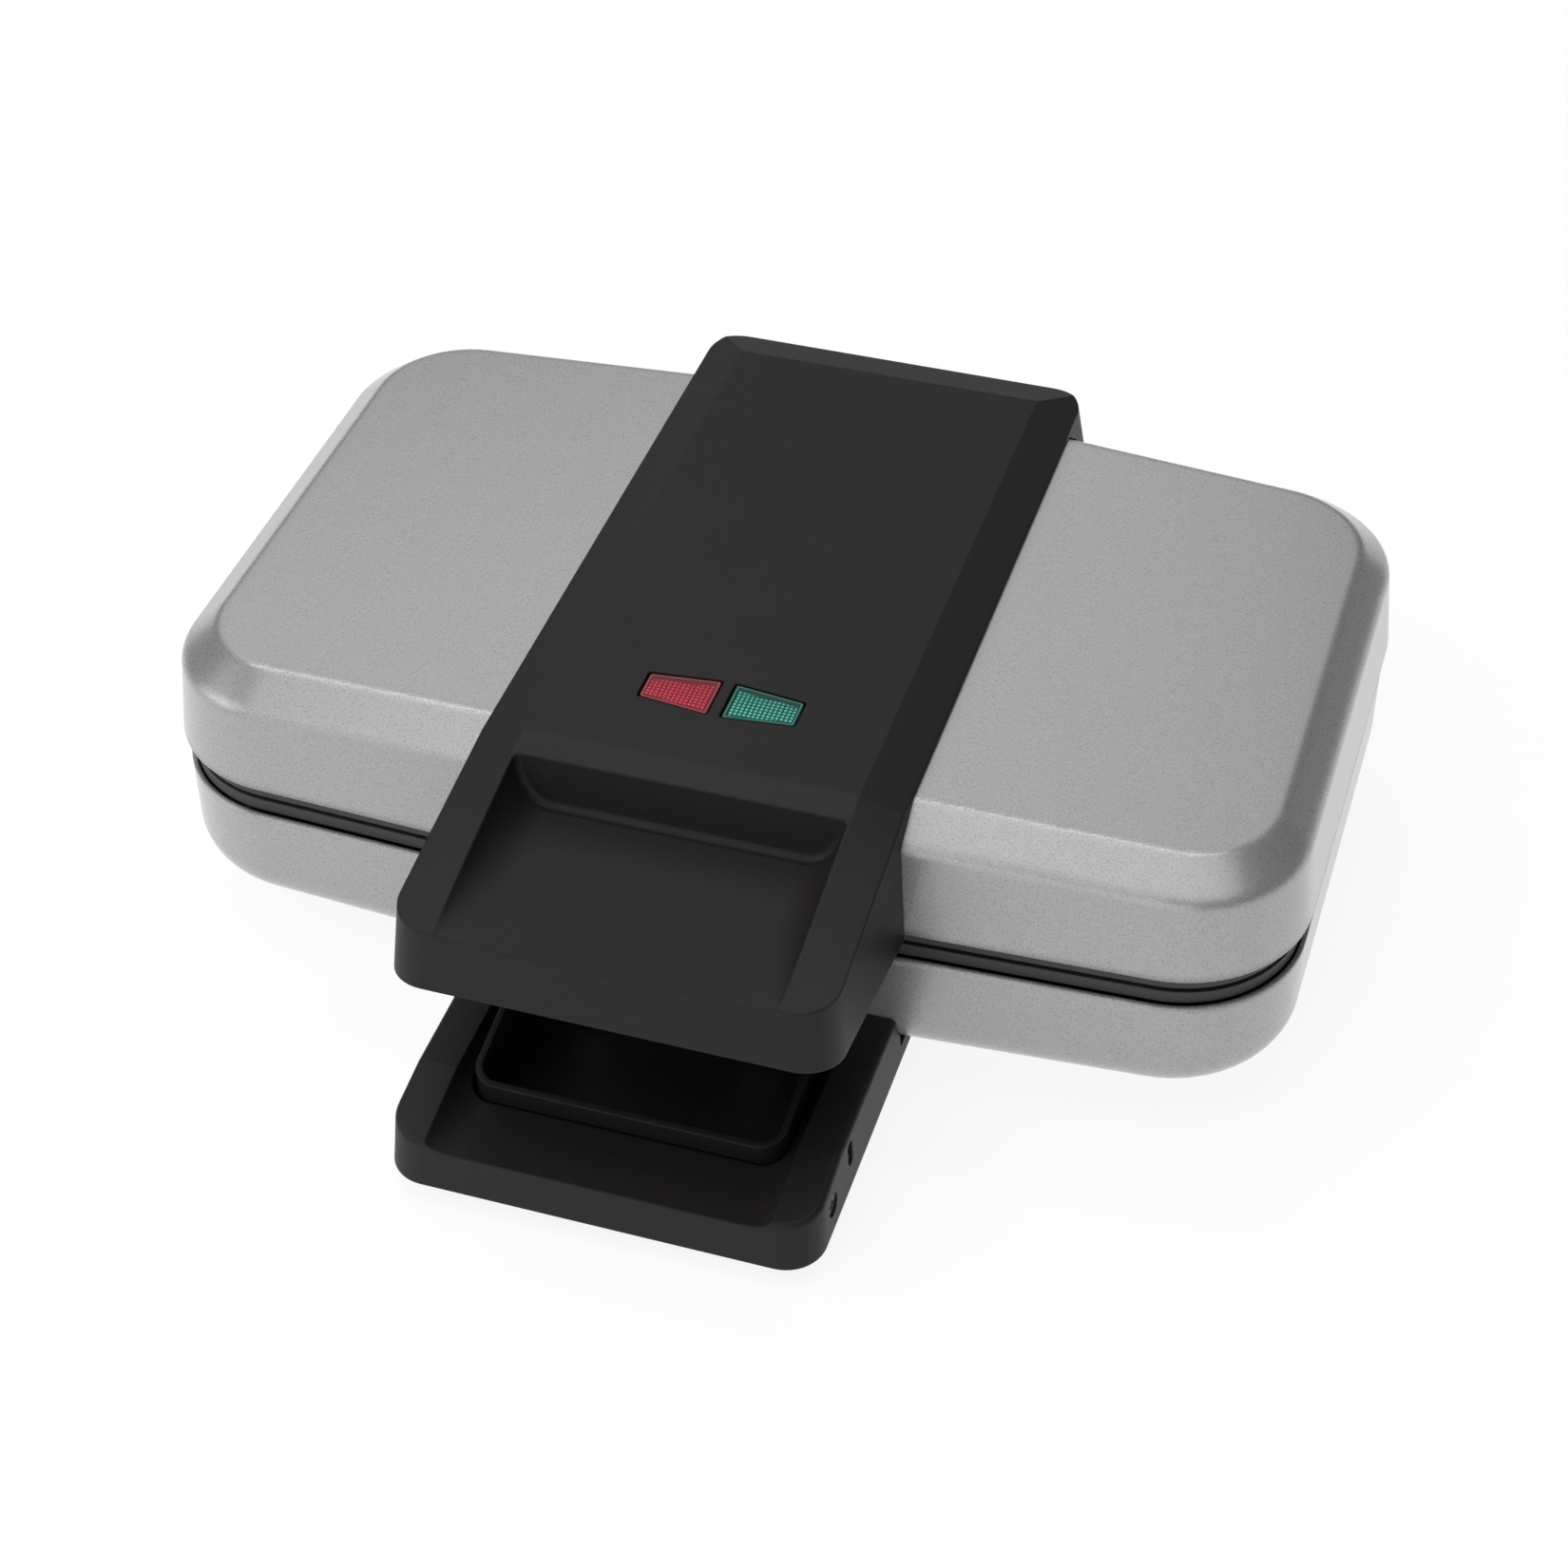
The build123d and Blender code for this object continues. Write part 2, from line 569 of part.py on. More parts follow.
def band_bosses(side):
    """Two bosses through the roof for the band, two in the handle for its cover."""
    roof = rod(side * BAND_BOSS_X, BAND_BOSS_Y, ROOF_Z - BAND_BOSS_LENGTH, TOP_Z, BAND_BOSS_R)
    seat = underside_z(COVER_BOSS_Y) + COVER_THICK + 1.0
    handle = rod(side * COVER_BOSS_X, COVER_BOSS_Y, seat, LIP_Z + 2, COVER_BOSS_R)
    return roof + handle


def band_holes(side):
    """Screw holes in those bosses and the hinge bore."""
    roof = rod(side * BAND_BOSS_X, BAND_BOSS_Y, ROOF_Z - BAND_BOSS_LENGTH - 1, ROOF_Z + 1.5, SCREW_R + SNUG)
    seat = underside_z(COVER_BOSS_Y)
    handle = rod(side * COVER_BOSS_X, COVER_BOSS_Y, seat, seat + COVER_THICK + 9.5, SCREW_R + SNUG)
    bore = shaft(side * (EAR_IN - 12), side * EAR_IN, HINGE_Y, HINGE_Z, HINGE_PIN_R + HINGE_FIT)
    return roof + handle + bore


def knuckle(side):
    """Hinge knuckle that hangs from the band inside the back wall."""
    x1 = EAR_IN - HINGE_SIDE_GAP
    x0 = x1 - KNUCKLE_WIDTH
    lo, hi = sorted((side * x0, side * x1))
    eye = shaft(lo, hi, HINGE_Y, HINGE_Z, HINGE_EYE_R)
    stem = [(HINGE_Y - HINGE_EYE_R, HINGE_Z), (HINGE_Y + HINGE_EYE_R, HINGE_Z),
            (HINGE_Y + HINGE_EYE_R, TOP_Z - 6), (HINGE_Y - 3, TOP_Z - 1.2), (HINGE_Y - 6.5, TOP_Z - 1.2)]
    return eye + (across(stem, lo, hi) & band_form(0.6, LID_REAR_CLEAR))


def cover_view(grow):
    """Side view of the handle's cover as four (y, z) corners."""
    back = SHELL_FRONT - COVER_BACK_GAP
    y0 = LIP_FOOT_Y + BAND_WALL + FIT + LIP_LEAN * COVER_THICK / LIP_HEIGHT
    return [(y0, underside_z(y0) - grow), (back, underside_z(back) - grow),
            (back, underside_z(back) + COVER_THICK), (y0, underside_z(y0) + COVER_THICK)]


def make_handle_cover():
    """Closes the underside of the handle; the catch plate hangs through a slit in it."""
    view = cover_view(0.0)
    y0, back = view[0][0], view[1][0]
    half = BAND_HALF_WIDTH - BAND_WALL - FIT + BAND_DRAFT * (CREASE_Z - LIP_FOOT_Z)
    body = across(view, -WIDE, WIDE)
    body &= extrude(plan_face(half, y0, back + 1, underside_z(back) - 5, COVER_CORNER, 0), amount=SPLIT_Z)
    for side in (-1, 1):
        x = side * COVER_BOSS_X
        low = underside_z(COVER_BOSS_Y)
        seat = low + COVER_THICK + 1.0
        body += rod(x, COVER_BOSS_Y, low + 0.6, seat, COVER_BOSS_R)
        body -= rod(x, COVER_BOSS_Y, low - 5, seat + 1, SCREW_R + SNUG)
        body -= rod(x, COVER_BOSS_Y, low - 5, low + SCREW_HEAD_H * 0.6, SCREW_HEAD_R + FIT)
        y = CATCH_Y - CATCH_SCREW_IN
        body -= rod(side * CATCH_SCREW_X, y, underside_z(y) + 0.3, underside_z(y) + 9, SCREW_R + SNUG)
    slit = block(-CATCH_HALF_WIDTH - FIT, CATCH_HALF_WIDTH + FIT, CATCH_Y - FIT,
                 CATCH_Y + CATCH_THICK + FIT, CATCH_FOOT_Z, TOP_Z)
    return body - slit


def make_catch_plate():
    """Steel angle: a slotted leg for the hooks' noses and a flange on the cover, inside the handle."""
    def top(y):
        return underside_z(y) + COVER_THICK
    y0 = CATCH_Y
    y1 = CATCH_Y + CATCH_THICK
    far = CATCH_Y - CATCH_FLANGE
    view = [(y0, CATCH_FOOT_Z), (y1, CATCH_FOOT_Z), (y1, top(y1) + CATCH_THICK),
            (far, top(far) + CATCH_THICK), (far, top(far)), (y0, top(y0))]
    body = across(view, -CATCH_HALF_WIDTH, CATCH_HALF_WIDTH)
    for side in (-1, 1):
        reach = HOOK_WIDTH / 2 + CATCH_SLOT_SIDE
        nose = HOOK_TOP - NOSE_HEIGHT
        body -= block(side * HOOK_X - reach, side * HOOK_X + reach, y0 - 1, y1 + 1,
                      nose - CATCH_SLOT_SIDE / 2, HOOK_TOP + CATCH_SLOT_SIDE)
        y = CATCH_Y - CATCH_SCREW_IN
        body -= rod(side * CATCH_SCREW_X, y, top(y) - 2, top(y) + 4, SCREW_R + SNUG)
    return body


def make_catch_screws():
    """Two short screws through the catch plate's flange into the cover, square to it."""
    y = CATCH_Y - CATCH_SCREW_IN
    seat = underside_z(y) + COVER_THICK + CATCH_THICK + CATCH_HEAD_R * UNDERSIDE_SLOPE
    one = screw(CATCH_SCREW_X, y, seat + SCREW_HEAD_H, underside_z(y) + 0.6, CATCH_HEAD_R)
    return solids(one, mirrored(one))


def make_cover_screws():
    """Two screws that hold the handle's cover."""
    z = underside_z(COVER_BOSS_Y) + SCREW_HEAD_H * 0.6 - SCREW_HEAD_H
    one = screw(COVER_BOSS_X, COVER_BOSS_Y, z, z + COVER_SCREW_LENGTH)
    return solids(one, mirrored(one))


def make_band_screws():
    """Two screws that hold the band, driven from inside the lid."""
    z = ROOF_Z - BAND_BOSS_LENGTH - SCREW_HEAD_H
    one = screw(BAND_BOSS_X, BAND_BOSS_Y, z, ROOF_Z + 1.0)
    return solids(one, mirrored(one))


def make_lens():
    """Right-hand lens: window block with a flange under the band's skin."""
    top = TOP_Z - LENS_SINK
    body = extrude(Pos(0, 0, top - LENS_THICK) * lens_plan(0.0), amount=LENS_THICK)
    return body


def make_lamps():
    """Two small neon lamps, one under each lens."""
    mid = (LENS_INNER_X + LENS_OUTER_X) / 2
    z = INNER_ROOF_Z - LAMP_R - 0.5
    one = shaft(mid - LAMP_LENGTH / 2, mid + LAMP_LENGTH / 2, LENS_CENTRE_Y, z, LAMP_R)
    one = fillet(one.edges(), 1.0)
    return solids(one, mirrored(one))


def make_lamp_holder():
    """Moulded tray under the roof that carries lenses' lamps."""
    half = LENS_OUTER_X + 3.5
    reach = LENS_INNER_LENGTH / 2 + 3.0
    z = INNER_ROOF_Z - LAMP_R - 0.5
    floor = z - LAMP_R - FIT - 1.5
    body = block(-half, half, LENS_CENTRE_Y - reach, LENS_CENTRE_Y + reach, floor, INNER_ROOF_Z)
    mid = (LENS_INNER_X + LENS_OUTER_X) / 2
    for side in (-1, 1):
        x = side * mid
        well = LAMP_LENGTH / 2 + FIT
        body -= block(x - well, x + well, LENS_CENTRE_Y - LAMP_R - FIT, LENS_CENTRE_Y + LAMP_R + FIT,
                      floor + 1.5, INNER_ROOF_Z + 1)
    return body


# ---- base and latch ------------------------------------------------------------------------
def base_form(shrink, z0, z1, front_y, back_y):
    """Drafted block with rounded corners between two heights."""
    sections = []
    for z in (z0, z1):
        lean = BASE_FRONT_LEAN * (z - BASE_BOTTOM)
        half = base_half(z) - shrink
        sections.append(plan_face(half, front_y + lean + shrink, back_y - shrink, z,
                                  BASE_CORNER - shrink, BASE_BACK_CORNER - shrink))
    return loft(sections, ruled=True)


def handle_view(shrink, z0, y1):
    """Side view under the lower handle's rims."""
    far = BASE_FRONT - 5
    return [(far, z0), (y1, z0), (y1, RIM_LEVEL - shrink), (RIM_KINK_Y, RIM_LEVEL - shrink),
            (far, rim_z(far) - shrink)]


def make_base():
    """Lower handle, spine under the pan, rear housing and hinge ears in one moulding."""
    high = REAR_TOP_Z + 5
    body = base_form(0.0, BASE_BOTTOM, high, BASE_FRONT, BASE_BACK)
    far = BASE_BACK + 5
    rear = [(REAR_FRONT, BASE_BOTTOM), (far, BASE_BOTTOM), (far, REAR_TOP_Z), (REAR_FRONT, REAR_TOP_Z)]
    spine = [(HANDLE_HOLLOW_BACK, BASE_BOTTOM), (REAR_FRONT + 1, BASE_BOTTOM), (REAR_FRONT + 1, SPINE_TOP),
             (HANDLE_HOLLOW_BACK, SPINE_TOP)]
    low_handle = soft_rims(body & across(handle_view(0.0, BASE_BOTTOM, SHELL_FRONT + 3), -WIDE, WIDE))
    body &= across(spine, -WIDE, WIDE) + across(rear, -WIDE, WIDE)
    body += low_handle
    body -= lower_body(-FIT, 5.0)
    body -= handle_hollow()
    body -= scoop_cut(0.0)
    body -= cup_well()
    body -= block(-REAR_INSIDE_HALF, REAR_INSIDE_HALF, SHELL_BACK - 14, BASE_BACK - BASE_WALL,
                  SPINE_TOP - 0.5, REAR_TOP_Z - BASE_WALL)
    for side in (1, -1):
        body += ear(side)
        body += latch_boss(side) & base_form(0.8, BASE_BOTTOM, high, BASE_FRONT, BASE_BACK)
        body -= latch_holes(side)
        body -= screw_and_foot_holes(side)
    body -= spine_pockets()
    body -= Pos(0, BASE_BACK, GLAND_Z) * Rot(90, 0, 0) * Cylinder(GLAND_R + SNUG, 12)
    return body


def soft_rims(body):
    """Round the outer upper edge of the lower handle."""
    def on_rim(edge):
        box = edge.bounding_box()
        return box.min.Z > RIM_FRONT_Z - 1.5 and box.max.Y < SHELL_FRONT + 3.1 and box.size.Y > 0.5
    edges = [e for e in body.edges() if on_rim(e) and not is_across(e)]
    return fillet(edges, RIM_ROUND)


def is_across(edge):
    """True for a straight edge along the width."""
    box = edge.bounding_box()
    return box.size.Y < 0.01 and box.size.Z < 0.01


def handle_hollow():
    """Inside of the lower handle, open below."""
    inner = base_form(BASE_WALL, BASE_BOTTOM - 1, REAR_TOP_Z, BASE_FRONT, BASE_BACK)
    inner &= across(handle_view(BASE_WALL, BASE_BOTTOM - 1, HANDLE_HOLLOW_BACK), -WIDE, WIDE)
    return inner - scoop_cut(SCOOP_SKIN)


def scoop_cut(grow):
    """Scoop between the side rims, open to the front; its side walls follow the rims' height."""
    def section(y, rim):
        return trough_section(y, SCOOP_HALF_WIDTH + grow, SCOOP_HALF_WIDTH - SCOOP_SIDE,
                              SCOOP_FLOOR_Z - grow, rim + SCOOP_OVER)
    slope = (RIM_LEVEL - RIM_FRONT_Z) / (RIM_KINK_Y - BASE_FRONT)
    front = section(BASE_FRONT - 5, RIM_FRONT_Z - 5 * slope)
    kink = section(RIM_KINK_Y, RIM_LEVEL)
    back = section(SHELL_FRONT + 2, RIM_LEVEL)
    return loft([front, kink], ruled=True) + loft([kink, back], ruled=True)


def cup_well():
    """Opening in the scoop's floor for the cup."""
    plan = plan_face(CUP_HALF_WIDTH + CUP_CLEAR, CUP_FRONT - CUP_CLEAR, CUP_BACK + CUP_CLEAR,
                     BASE_BOTTOM - 1, CUP_CORNER, CUP_CORNER)
    return extrude(plan, amount=SPLIT_Z)


def ear(side):
    """Hinge ear that rises from the rear housing."""
    lo, hi = sorted((side * EAR_IN, side * (EAR_IN + EAR_WIDTH)))
    narrow = 0.84 * HINGE_EYE_R
    stem = [(HINGE_Y - 1.1 * HINGE_EYE_R, REAR_TOP_Z - 1), (HINGE_Y + HINGE_EYE_R, REAR_TOP_Z - 1),
            (HINGE_Y + narrow, HINGE_Z - HINGE_EYE_R / 2), (HINGE_Y - narrow, HINGE_Z - HINGE_EYE_R / 2)]
    body = shaft(lo, hi, HINGE_Y, HINGE_Z, HINGE_EYE_R) + across(stem, lo, hi)
    return body - shaft(side * (EAR_IN - 1), side * (EAR_IN + EAR_WIDTH - 1.5), HINGE_Y, HINGE_Z,
                        HINGE_PIN_R + SNUG)


def latch_boss(side):
    """Thickened side wall round the latch screw."""
    return shaft(side * (CHEEK_OUT + FIT), side * (BASE_HALF_WIDTH + 1), LATCH_PIVOT_Y, LATCH_PIVOT_Z,
                 LATCH_HEAD_R + 1.4)


def latch_holes(side):
    """Screw hole with counterbore, and the slot for the latch pin."""
    seat = base_half(LATCH_PIVOT_Z) - LATCH_HEAD_H - 0.4
    out = BASE_HALF_WIDTH + 3
    hole = shaft(side * (CHEEK_OUT - 2), side * out, LATCH_PIVOT_Y, LATCH_PIVOT_Z, LATCH_SCREW_R + SNUG)
    bore = shaft(side * seat, side * out, LATCH_PIVOT_Y, LATCH_PIVOT_Z, LATCH_HEAD_R + SNUG)
    z0 = LATCH_PIN_Z - LATCH_PIN_R - 0.3
    slot = Pos(0, LATCH_PIN_Y, z0 + LATCH_SLOT_HEIGHT / 2) * Rot(0, 90, 0) * SlotOverall(
        LATCH_SLOT_HEIGHT, LATCH_SLOT_WIDTH)
    slot = extrude(slot, amount=side * out, dir=(1, 0, 0))
    keep = side * (SCOOP_HALF_WIDTH + SCOOP_SKIN + 1)
    lo, hi = sorted((keep, side * out))
    slot &= block(lo, hi, LATCH_PIN_Y - 5, LATCH_PIN_Y + 5, 0, SPLIT_Z)
    return hole + bore + slot


def screw_and_foot_holes(side):
    """Screw holes with sunk heads, and holes for the feet's plugs."""
    tool = rod(side * FOOT_X, FOOT_FRONT_Y, 0, SPINE_TOP + 1, FOOT_PLUG_R + SNUG)
    tool += rod(side * FOOT_X, FOOT_BACK_Y, 0, SPINE_TOP + 1, FOOT_PLUG_R + SNUG)
    for y in (POST_FRONT_Y, POST_BACK_Y):
        tool += rod(side * POST_X, y, 0, BASE_BOTTOM + SCREW_HEAD_H + 0.3, SCREW_HEAD_R + FIT)
        tool += rod(side * POST_X, y, 0, SPINE_TOP + 1, SCREW_R + SNUG)
    return tool


def spine_pockets():
    """Shallow pockets that leave ribs on the underside of the spine."""
    tool = None
    for row in range(SPINE_POCKET_ROWS):
        y = SPINE_POCKET_Y + row * SPINE_POCKET_PITCH
        for x in (-SPINE_POCKET_X, SPINE_POCKET_X):
            one = block(x - SPINE_POCKET_HALF, x + SPINE_POCKET_HALF, y, y + SPINE_POCKET_LENGTH,
                        0, BASE_BOTTOM + SPINE_POCKET_DEPTH)
            tool = one if tool is None else tool + one
    return tool


def make_latch():
    """Pull cup with a sloping rim and two cheeks with pivot eyes and slot pins."""
    outer = extrude(plan_face(CUP_HALF_WIDTH, CUP_FRONT, CUP_BACK, CUP_BOTTOM, CUP_CORNER, CUP_CORNER),
                    amount=SPLIT_Z)
    inner = extrude(plan_face(CUP_HALF_WIDTH - CUP_WALL, CUP_FRONT + CUP_WALL, HOOK_BACK,
                              CUP_BOTTOM + CUP_WALL, CUP_CORNER - CUP_WALL, CUP_CORNER - CUP_WALL),
                    amount=SPLIT_Z)
    level_y = CUP_RIM_Y + (CUP_TOP - CUP_RIM_Z) / CUP_RIM_SLOPE
    far = CUP_FRONT - 5
    top = [(far, 0), (CUP_BACK + 5, 0), (CUP_BACK + 5, CUP_TOP), (level_y, CUP_TOP),
           (far, CUP_RIM_Z + CUP_RIM_SLOPE * (far - CUP_RIM_Y))]
    body = (outer - inner) & across(top, -WIDE, WIDE)
    for side in (1, -1):
        body += cheek(side)
    for side in (1, -1):
        body -= shaft(side * (LATCH_CHEEK_IN - 1), side * (CHEEK_OUT + 1), LATCH_PIVOT_Y, LATCH_PIVOT_Z,
                      LATCH_SCREW_R + LATCH_FIT)
        body -= rivet_hole(side)
    return body


def along(x, y0, y1, z, radius):
    """Round bar along the depth."""
    return Pos(x, (y0 + y1) / 2, z) * Rot(90, 0, 0) * Cylinder(radius, abs(y1 - y0))


def rivet_hole(side):
    """Hole for a rivet through a hook and the cup's rear wall."""
    return along(side * HOOK_X, HOOK_FRONT - 1, CUP_BACK + 1, RIVET_Z, RIVET_R + SNUG)


def cheek(side):
    """Side plate with pivot eye and slot pin, tied to the cup under the scoop's floor."""
    lo, hi = sorted((side * LATCH_CHEEK_IN, side * CHEEK_OUT))
    eye = shaft(lo, hi, LATCH_PIVOT_Y, LATCH_PIVOT_Z, LATCH_BOSS_R)
    pad = shaft(lo, hi, LATCH_PIN_Y, LATCH_PIN_Z, 2.6)
    bar = across([(LATCH_PIVOT_Y, LATCH_PIVOT_Z - 3.2), (LATCH_PIN_Y, LATCH_PIN_Z - 2.2),
                  (LATCH_PIN_Y, LATCH_PIN_Z + 2.2), (LATCH_PIVOT_Y, LATCH_PIVOT_Z + 3.2)], lo, hi)
    pin = shaft(side * CHEEK_OUT, side * (base_half(LATCH_PIN_Z) - 0.6), LATCH_PIN_Y, LATCH_PIN_Z, LATCH_PIN_R)
    lo, hi = sorted((side * (CUP_HALF_WIDTH - 1), side * CHEEK_OUT))
    tie = block(lo, hi, LATCH_PIVOT_Y - 2.0, LATCH_TIE_BACK, LATCH_PIVOT_Z - 3.6, LATCH_TIE_TOP)
    return eye + pad + bar + pin + tie


def make_latch_hooks():
    """Two steel hooks on the cup's rear wall, with noses that point at the catch plate."""
    nose = HOOK_TOP - NOSE_HEIGHT
    view = [(HOOK_FRONT, HOOK_FOOT_Z), (HOOK_BACK, HOOK_FOOT_Z), (HOOK_BACK, nose), (NOSE_Y, nose + 0.6),
            (NOSE_Y, nose + 1.2), (HOOK_BACK, HOOK_TOP), (HOOK_FRONT, HOOK_TOP)]
    one = across(view, HOOK_X - HOOK_WIDTH / 2, HOOK_X + HOOK_WIDTH / 2) - rivet_hole(1)
    return solids(one, mirrored(one))


def make_hook_rivets():
    """Two rivets that hold the hooks."""
    one = along(HOOK_X, HOOK_FRONT, CUP_BACK, RIVET_Z, RIVET_R)
    one += along(HOOK_X, HOOK_FRONT - RIVET_HEAD_H, HOOK_FRONT, RIVET_Z, RIVET_HEAD_R)
    return solids(one, mirrored(one))


def make_handle_bottom():
    """Plate that closes the lower handle below the cup."""
    inner = base_form(BASE_WALL + FIT, BASE_BOTTOM, REAR_TOP_Z, BASE_FRONT, BASE_BACK)
    y1 = HANDLE_HOLLOW_BACK - FIT
    return inner & block(-WIDE, WIDE, BASE_FRONT - 5, y1, BASE_BOTTOM, BASE_BOTTOM + HANDLE_BOTTOM_THICK)


def make_latch_screws():
    """Two shoulder screws that the latch turns on."""
    seat = base_half(LATCH_PIVOT_Z) - LATCH_HEAD_H - 0.4
    head = shaft(seat, seat + LATCH_HEAD_H, LATCH_PIVOT_Y, LATCH_PIVOT_Z, LATCH_HEAD_R)
    shank = shaft(LATCH_CHEEK_IN + 0.1, seat, LATCH_PIVOT_Y, LATCH_PIVOT_Z, LATCH_SCREW_R)
    body = head + shank
    cross = Box(1.2, 0.7, 2.8) + Box(1.2, 2.8, 0.7)
    body -= Pos(seat + LATCH_HEAD_H, LATCH_PIVOT_Y, LATCH_PIVOT_Z) * cross
    return solids(body, mirrored(body))


# ---- plates, heaters, inner pieces ---------------------------------------------------------
def plate_edge(z0, z1):
    """Flange of a plate with the shells' plan outline."""
    return shell_body([(PLATE_INSET, z0, 0.0), (PLATE_INSET, z1, 0.0)])


def triangle(corners, z, inset):
    """Rounded triangular outline, drawn in by inset."""
    face = make_face(Polyline(*corners, close=True))
    if inset:
        face = offset(face, amount=-inset, kind=Kind.INTERSECTION)
    return Pos(0, 0, z) * fillet(face.vertices(), POCKET_ROUND * (0.6 if inset else 1.0))


def square_pocket(face_z, depth, grow, up):
    """Rounded square form of the right-hand pocket."""
    sign = 1 if up else -1
    def section(z, inset):
        x0 = POCKET_IN - grow + inset
        x1 = POCKET_OUT + grow - inset
        y0 = POCKET_FRONT - grow + inset
        y1 = POCKET_BACK + grow - inset
        face = make_face(Polyline((x0, y0), (x1, y0), (x1, y1), (x0, y1), close=True))
        return Pos(0, 0, z) * fillet(face.vertices(), POCKET_ROUND)
    return loft([section(face_z, 0), section(face_z + sign * depth, POCKET_DRAFT)], ruled=True)


def triangle_pockets(face_z, up):
    """The two triangular pockets of the right-hand square."""
    sign = 1 if up else -1
    gap = POCKET_RIDGE / 2 * math.sqrt(2)
    x0, x1, y0, y1 = POCKET_IN, POCKET_OUT, POCKET_FRONT, POCKET_BACK
    near = [(x0, y0), (x1 - 2 * gap, y0), (x0, y1 - 2 * gap)]
    far = [(x1, y1), (x0 + 2 * gap, y1), (x1, y0 + 2 * gap)]
    result = []
    for corners in (near, far):
        mouth = triangle(corners, face_z, 0)
        floor = triangle(corners, face_z + sign * POCKET_DEPTH, POCKET_DRAFT)
        result.append(loft([mouth, floor], ruled=True))
    return result


def make_plate(up):
    """Cast cooking plate with four triangular pockets and four posts."""
    sign = 1 if up else -1
    face_z = UPPER_FACE_Z if up else LOWER_FACE_Z
    back_z = UPPER_BACK_Z if up else LOWER_BACK_Z
    body = plate_edge(min(face_z, back_z), max(face_z, back_z))
    bulge = square_pocket(face_z, POCKET_DEPTH + PLATE_SKIN, PLATE_SKIN, up)
    body += bulge
    body += mirrored(bulge)
    for pocket in triangle_pockets(face_z, up):
        body -= pocket
        body -= mirrored(pocket)
    stop = INNER_ROOF_Z if up else INNER_FLOOR_Z
    for side in (-1, 1):
        for y in (POST_FRONT_Y, POST_BACK_Y):
            body += rod(side * POST_X, y, back_z, stop, POST_R)
            body -= rod(side * POST_X, y, stop + sign, stop - sign * (SCREW_BITE + 1), SCREW_R + SNUG)
    return body


def make_heater(up):
    """Sheathed heating rod, bent into a flat loop, with two terminal pins."""
    z = UPPER_BULGE_Z + FIT + HEATER_R if up else LOWER_BULGE_Z - FIT - HEATER_R
    path = FilletPolyline((HEATER_END_X, HEATER_BACK + 8, z), (HEATER_END_X, HEATER_BACK - 14, z),
                          (HEATER_HALF_X, HEATER_BACK - 14, z), (HEATER_HALF_X, HEATER_FRONT, z),
                          (-HEATER_HALF_X, HEATER_FRONT, z), (-HEATER_HALF_X, HEATER_BACK - 14, z),
                          (-HEATER_END_X, HEATER_BACK - 14, z), (-HEATER_END_X, HEATER_BACK + 8, z),
                          radius=8.0)
    start = Plane(origin=path @ 0, z_dir=path % 0)
    body = sweep(start * Circle(HEATER_R), path)
    for side in (-1, 1):
        tip = Pos(side * HEATER_END_X, HEATER_BACK + 11, z) * Rot(90, 0, 0) * Cylinder(1.2, 8)
        body += tip
    return body


def make_reflector(up):
    """Pressed sheet behind the heater, with a turned rim and holes for the posts."""
    gap = 2 * HEATER_R + 2 * FIT
    z = UPPER_BULGE_Z + gap if up else LOWER_BULGE_Z - gap - SHEET
    rim = z - REFLECTOR_RIM if up else z
    top = z + SHEET if up else z + SHEET + REFLECTOR_RIM
    outer = shell_body([(REFLECTOR_INSET, rim, 0.0), (REFLECTOR_INSET, top, 0.0)])
    inset = REFLECTOR_INSET + SHEET
    if up:
        inner = shell_body([(inset, rim - 1, 0.0), (inset, z, 0.0)])
    else:
        inner = shell_body([(inset, z + SHEET, 0.0), (inset, top + 1, 0.0)])
    body = outer - inner
    for side in (-1, 1):
        for y in (POST_FRONT_Y, POST_BACK_Y):
            body -= rod(side * POST_X, y, rim - 1, top + 1, POST_R + FIT)
    return body


def make_thermostat():
    """Disc thermostat under the middle of the lower plate, with two tabs."""
    y = (POCKET_FRONT + POCKET_BACK) / 2
    z = LOWER_BACK_Z
    can = rod(0, y, z - STAT_HEIGHT, z, STAT_R - 1.0) + rod(0, y, z - 1.2, z, STAT_R)
    for dy in (-3.5, 3.5):
        can += block(-3, 3, y + dy - 0.4, y + dy + 0.4, z - STAT_HEIGHT - 6, z - STAT_HEIGHT + 0.5)
    return can


def make_fuse():
    """Thermal fuse in a clip on the back of the upper plate."""
    y = (POCKET_FRONT + POCKET_BACK) / 2
    z = UPPER_BACK_Z + FUSE_R + 0.2
    body = Pos(0, y, z) * Rot(90, 0, 0) * Cylinder(FUSE_R, FUSE_LENGTH)
    body += block(-FUSE_R - 1, FUSE_R + 1, y - 3, y + 3, UPPER_BACK_Z, z + FUSE_R + 0.6)
    body += Pos(0, y, z) * Rot(90, 0, 0) * Cylinder(0.7, FUSE_LENGTH + 12)
    return body


def make_feet():
    """Four rubber feet with plugs."""
    feet = []
    for x in (-FOOT_X, FOOT_X):
        for y in (FOOT_FRONT_Y, FOOT_BACK_Y):
            pad = Pos(x, y, BASE_BOTTOM / 2) * Cone(FOOT_R - 0.8, FOOT_R, BASE_BOTTOM)
            feet.append(pad + rod(x, y, BASE_BOTTOM - 1, SPINE_TOP - 0.4, FOOT_PLUG_R))
    return solids(*feet)


def make_base_screws():
    """Four screws through spine and pan into the lower plate's posts."""
    screws = []
    for x in (-POST_X, POST_X):
        for y in (POST_FRONT_Y, POST_BACK_Y):
            screws.append(screw(x, y, BASE_BOTTOM + 0.3, INNER_FLOOR_Z + SCREW_BITE))
    return solids(*screws)


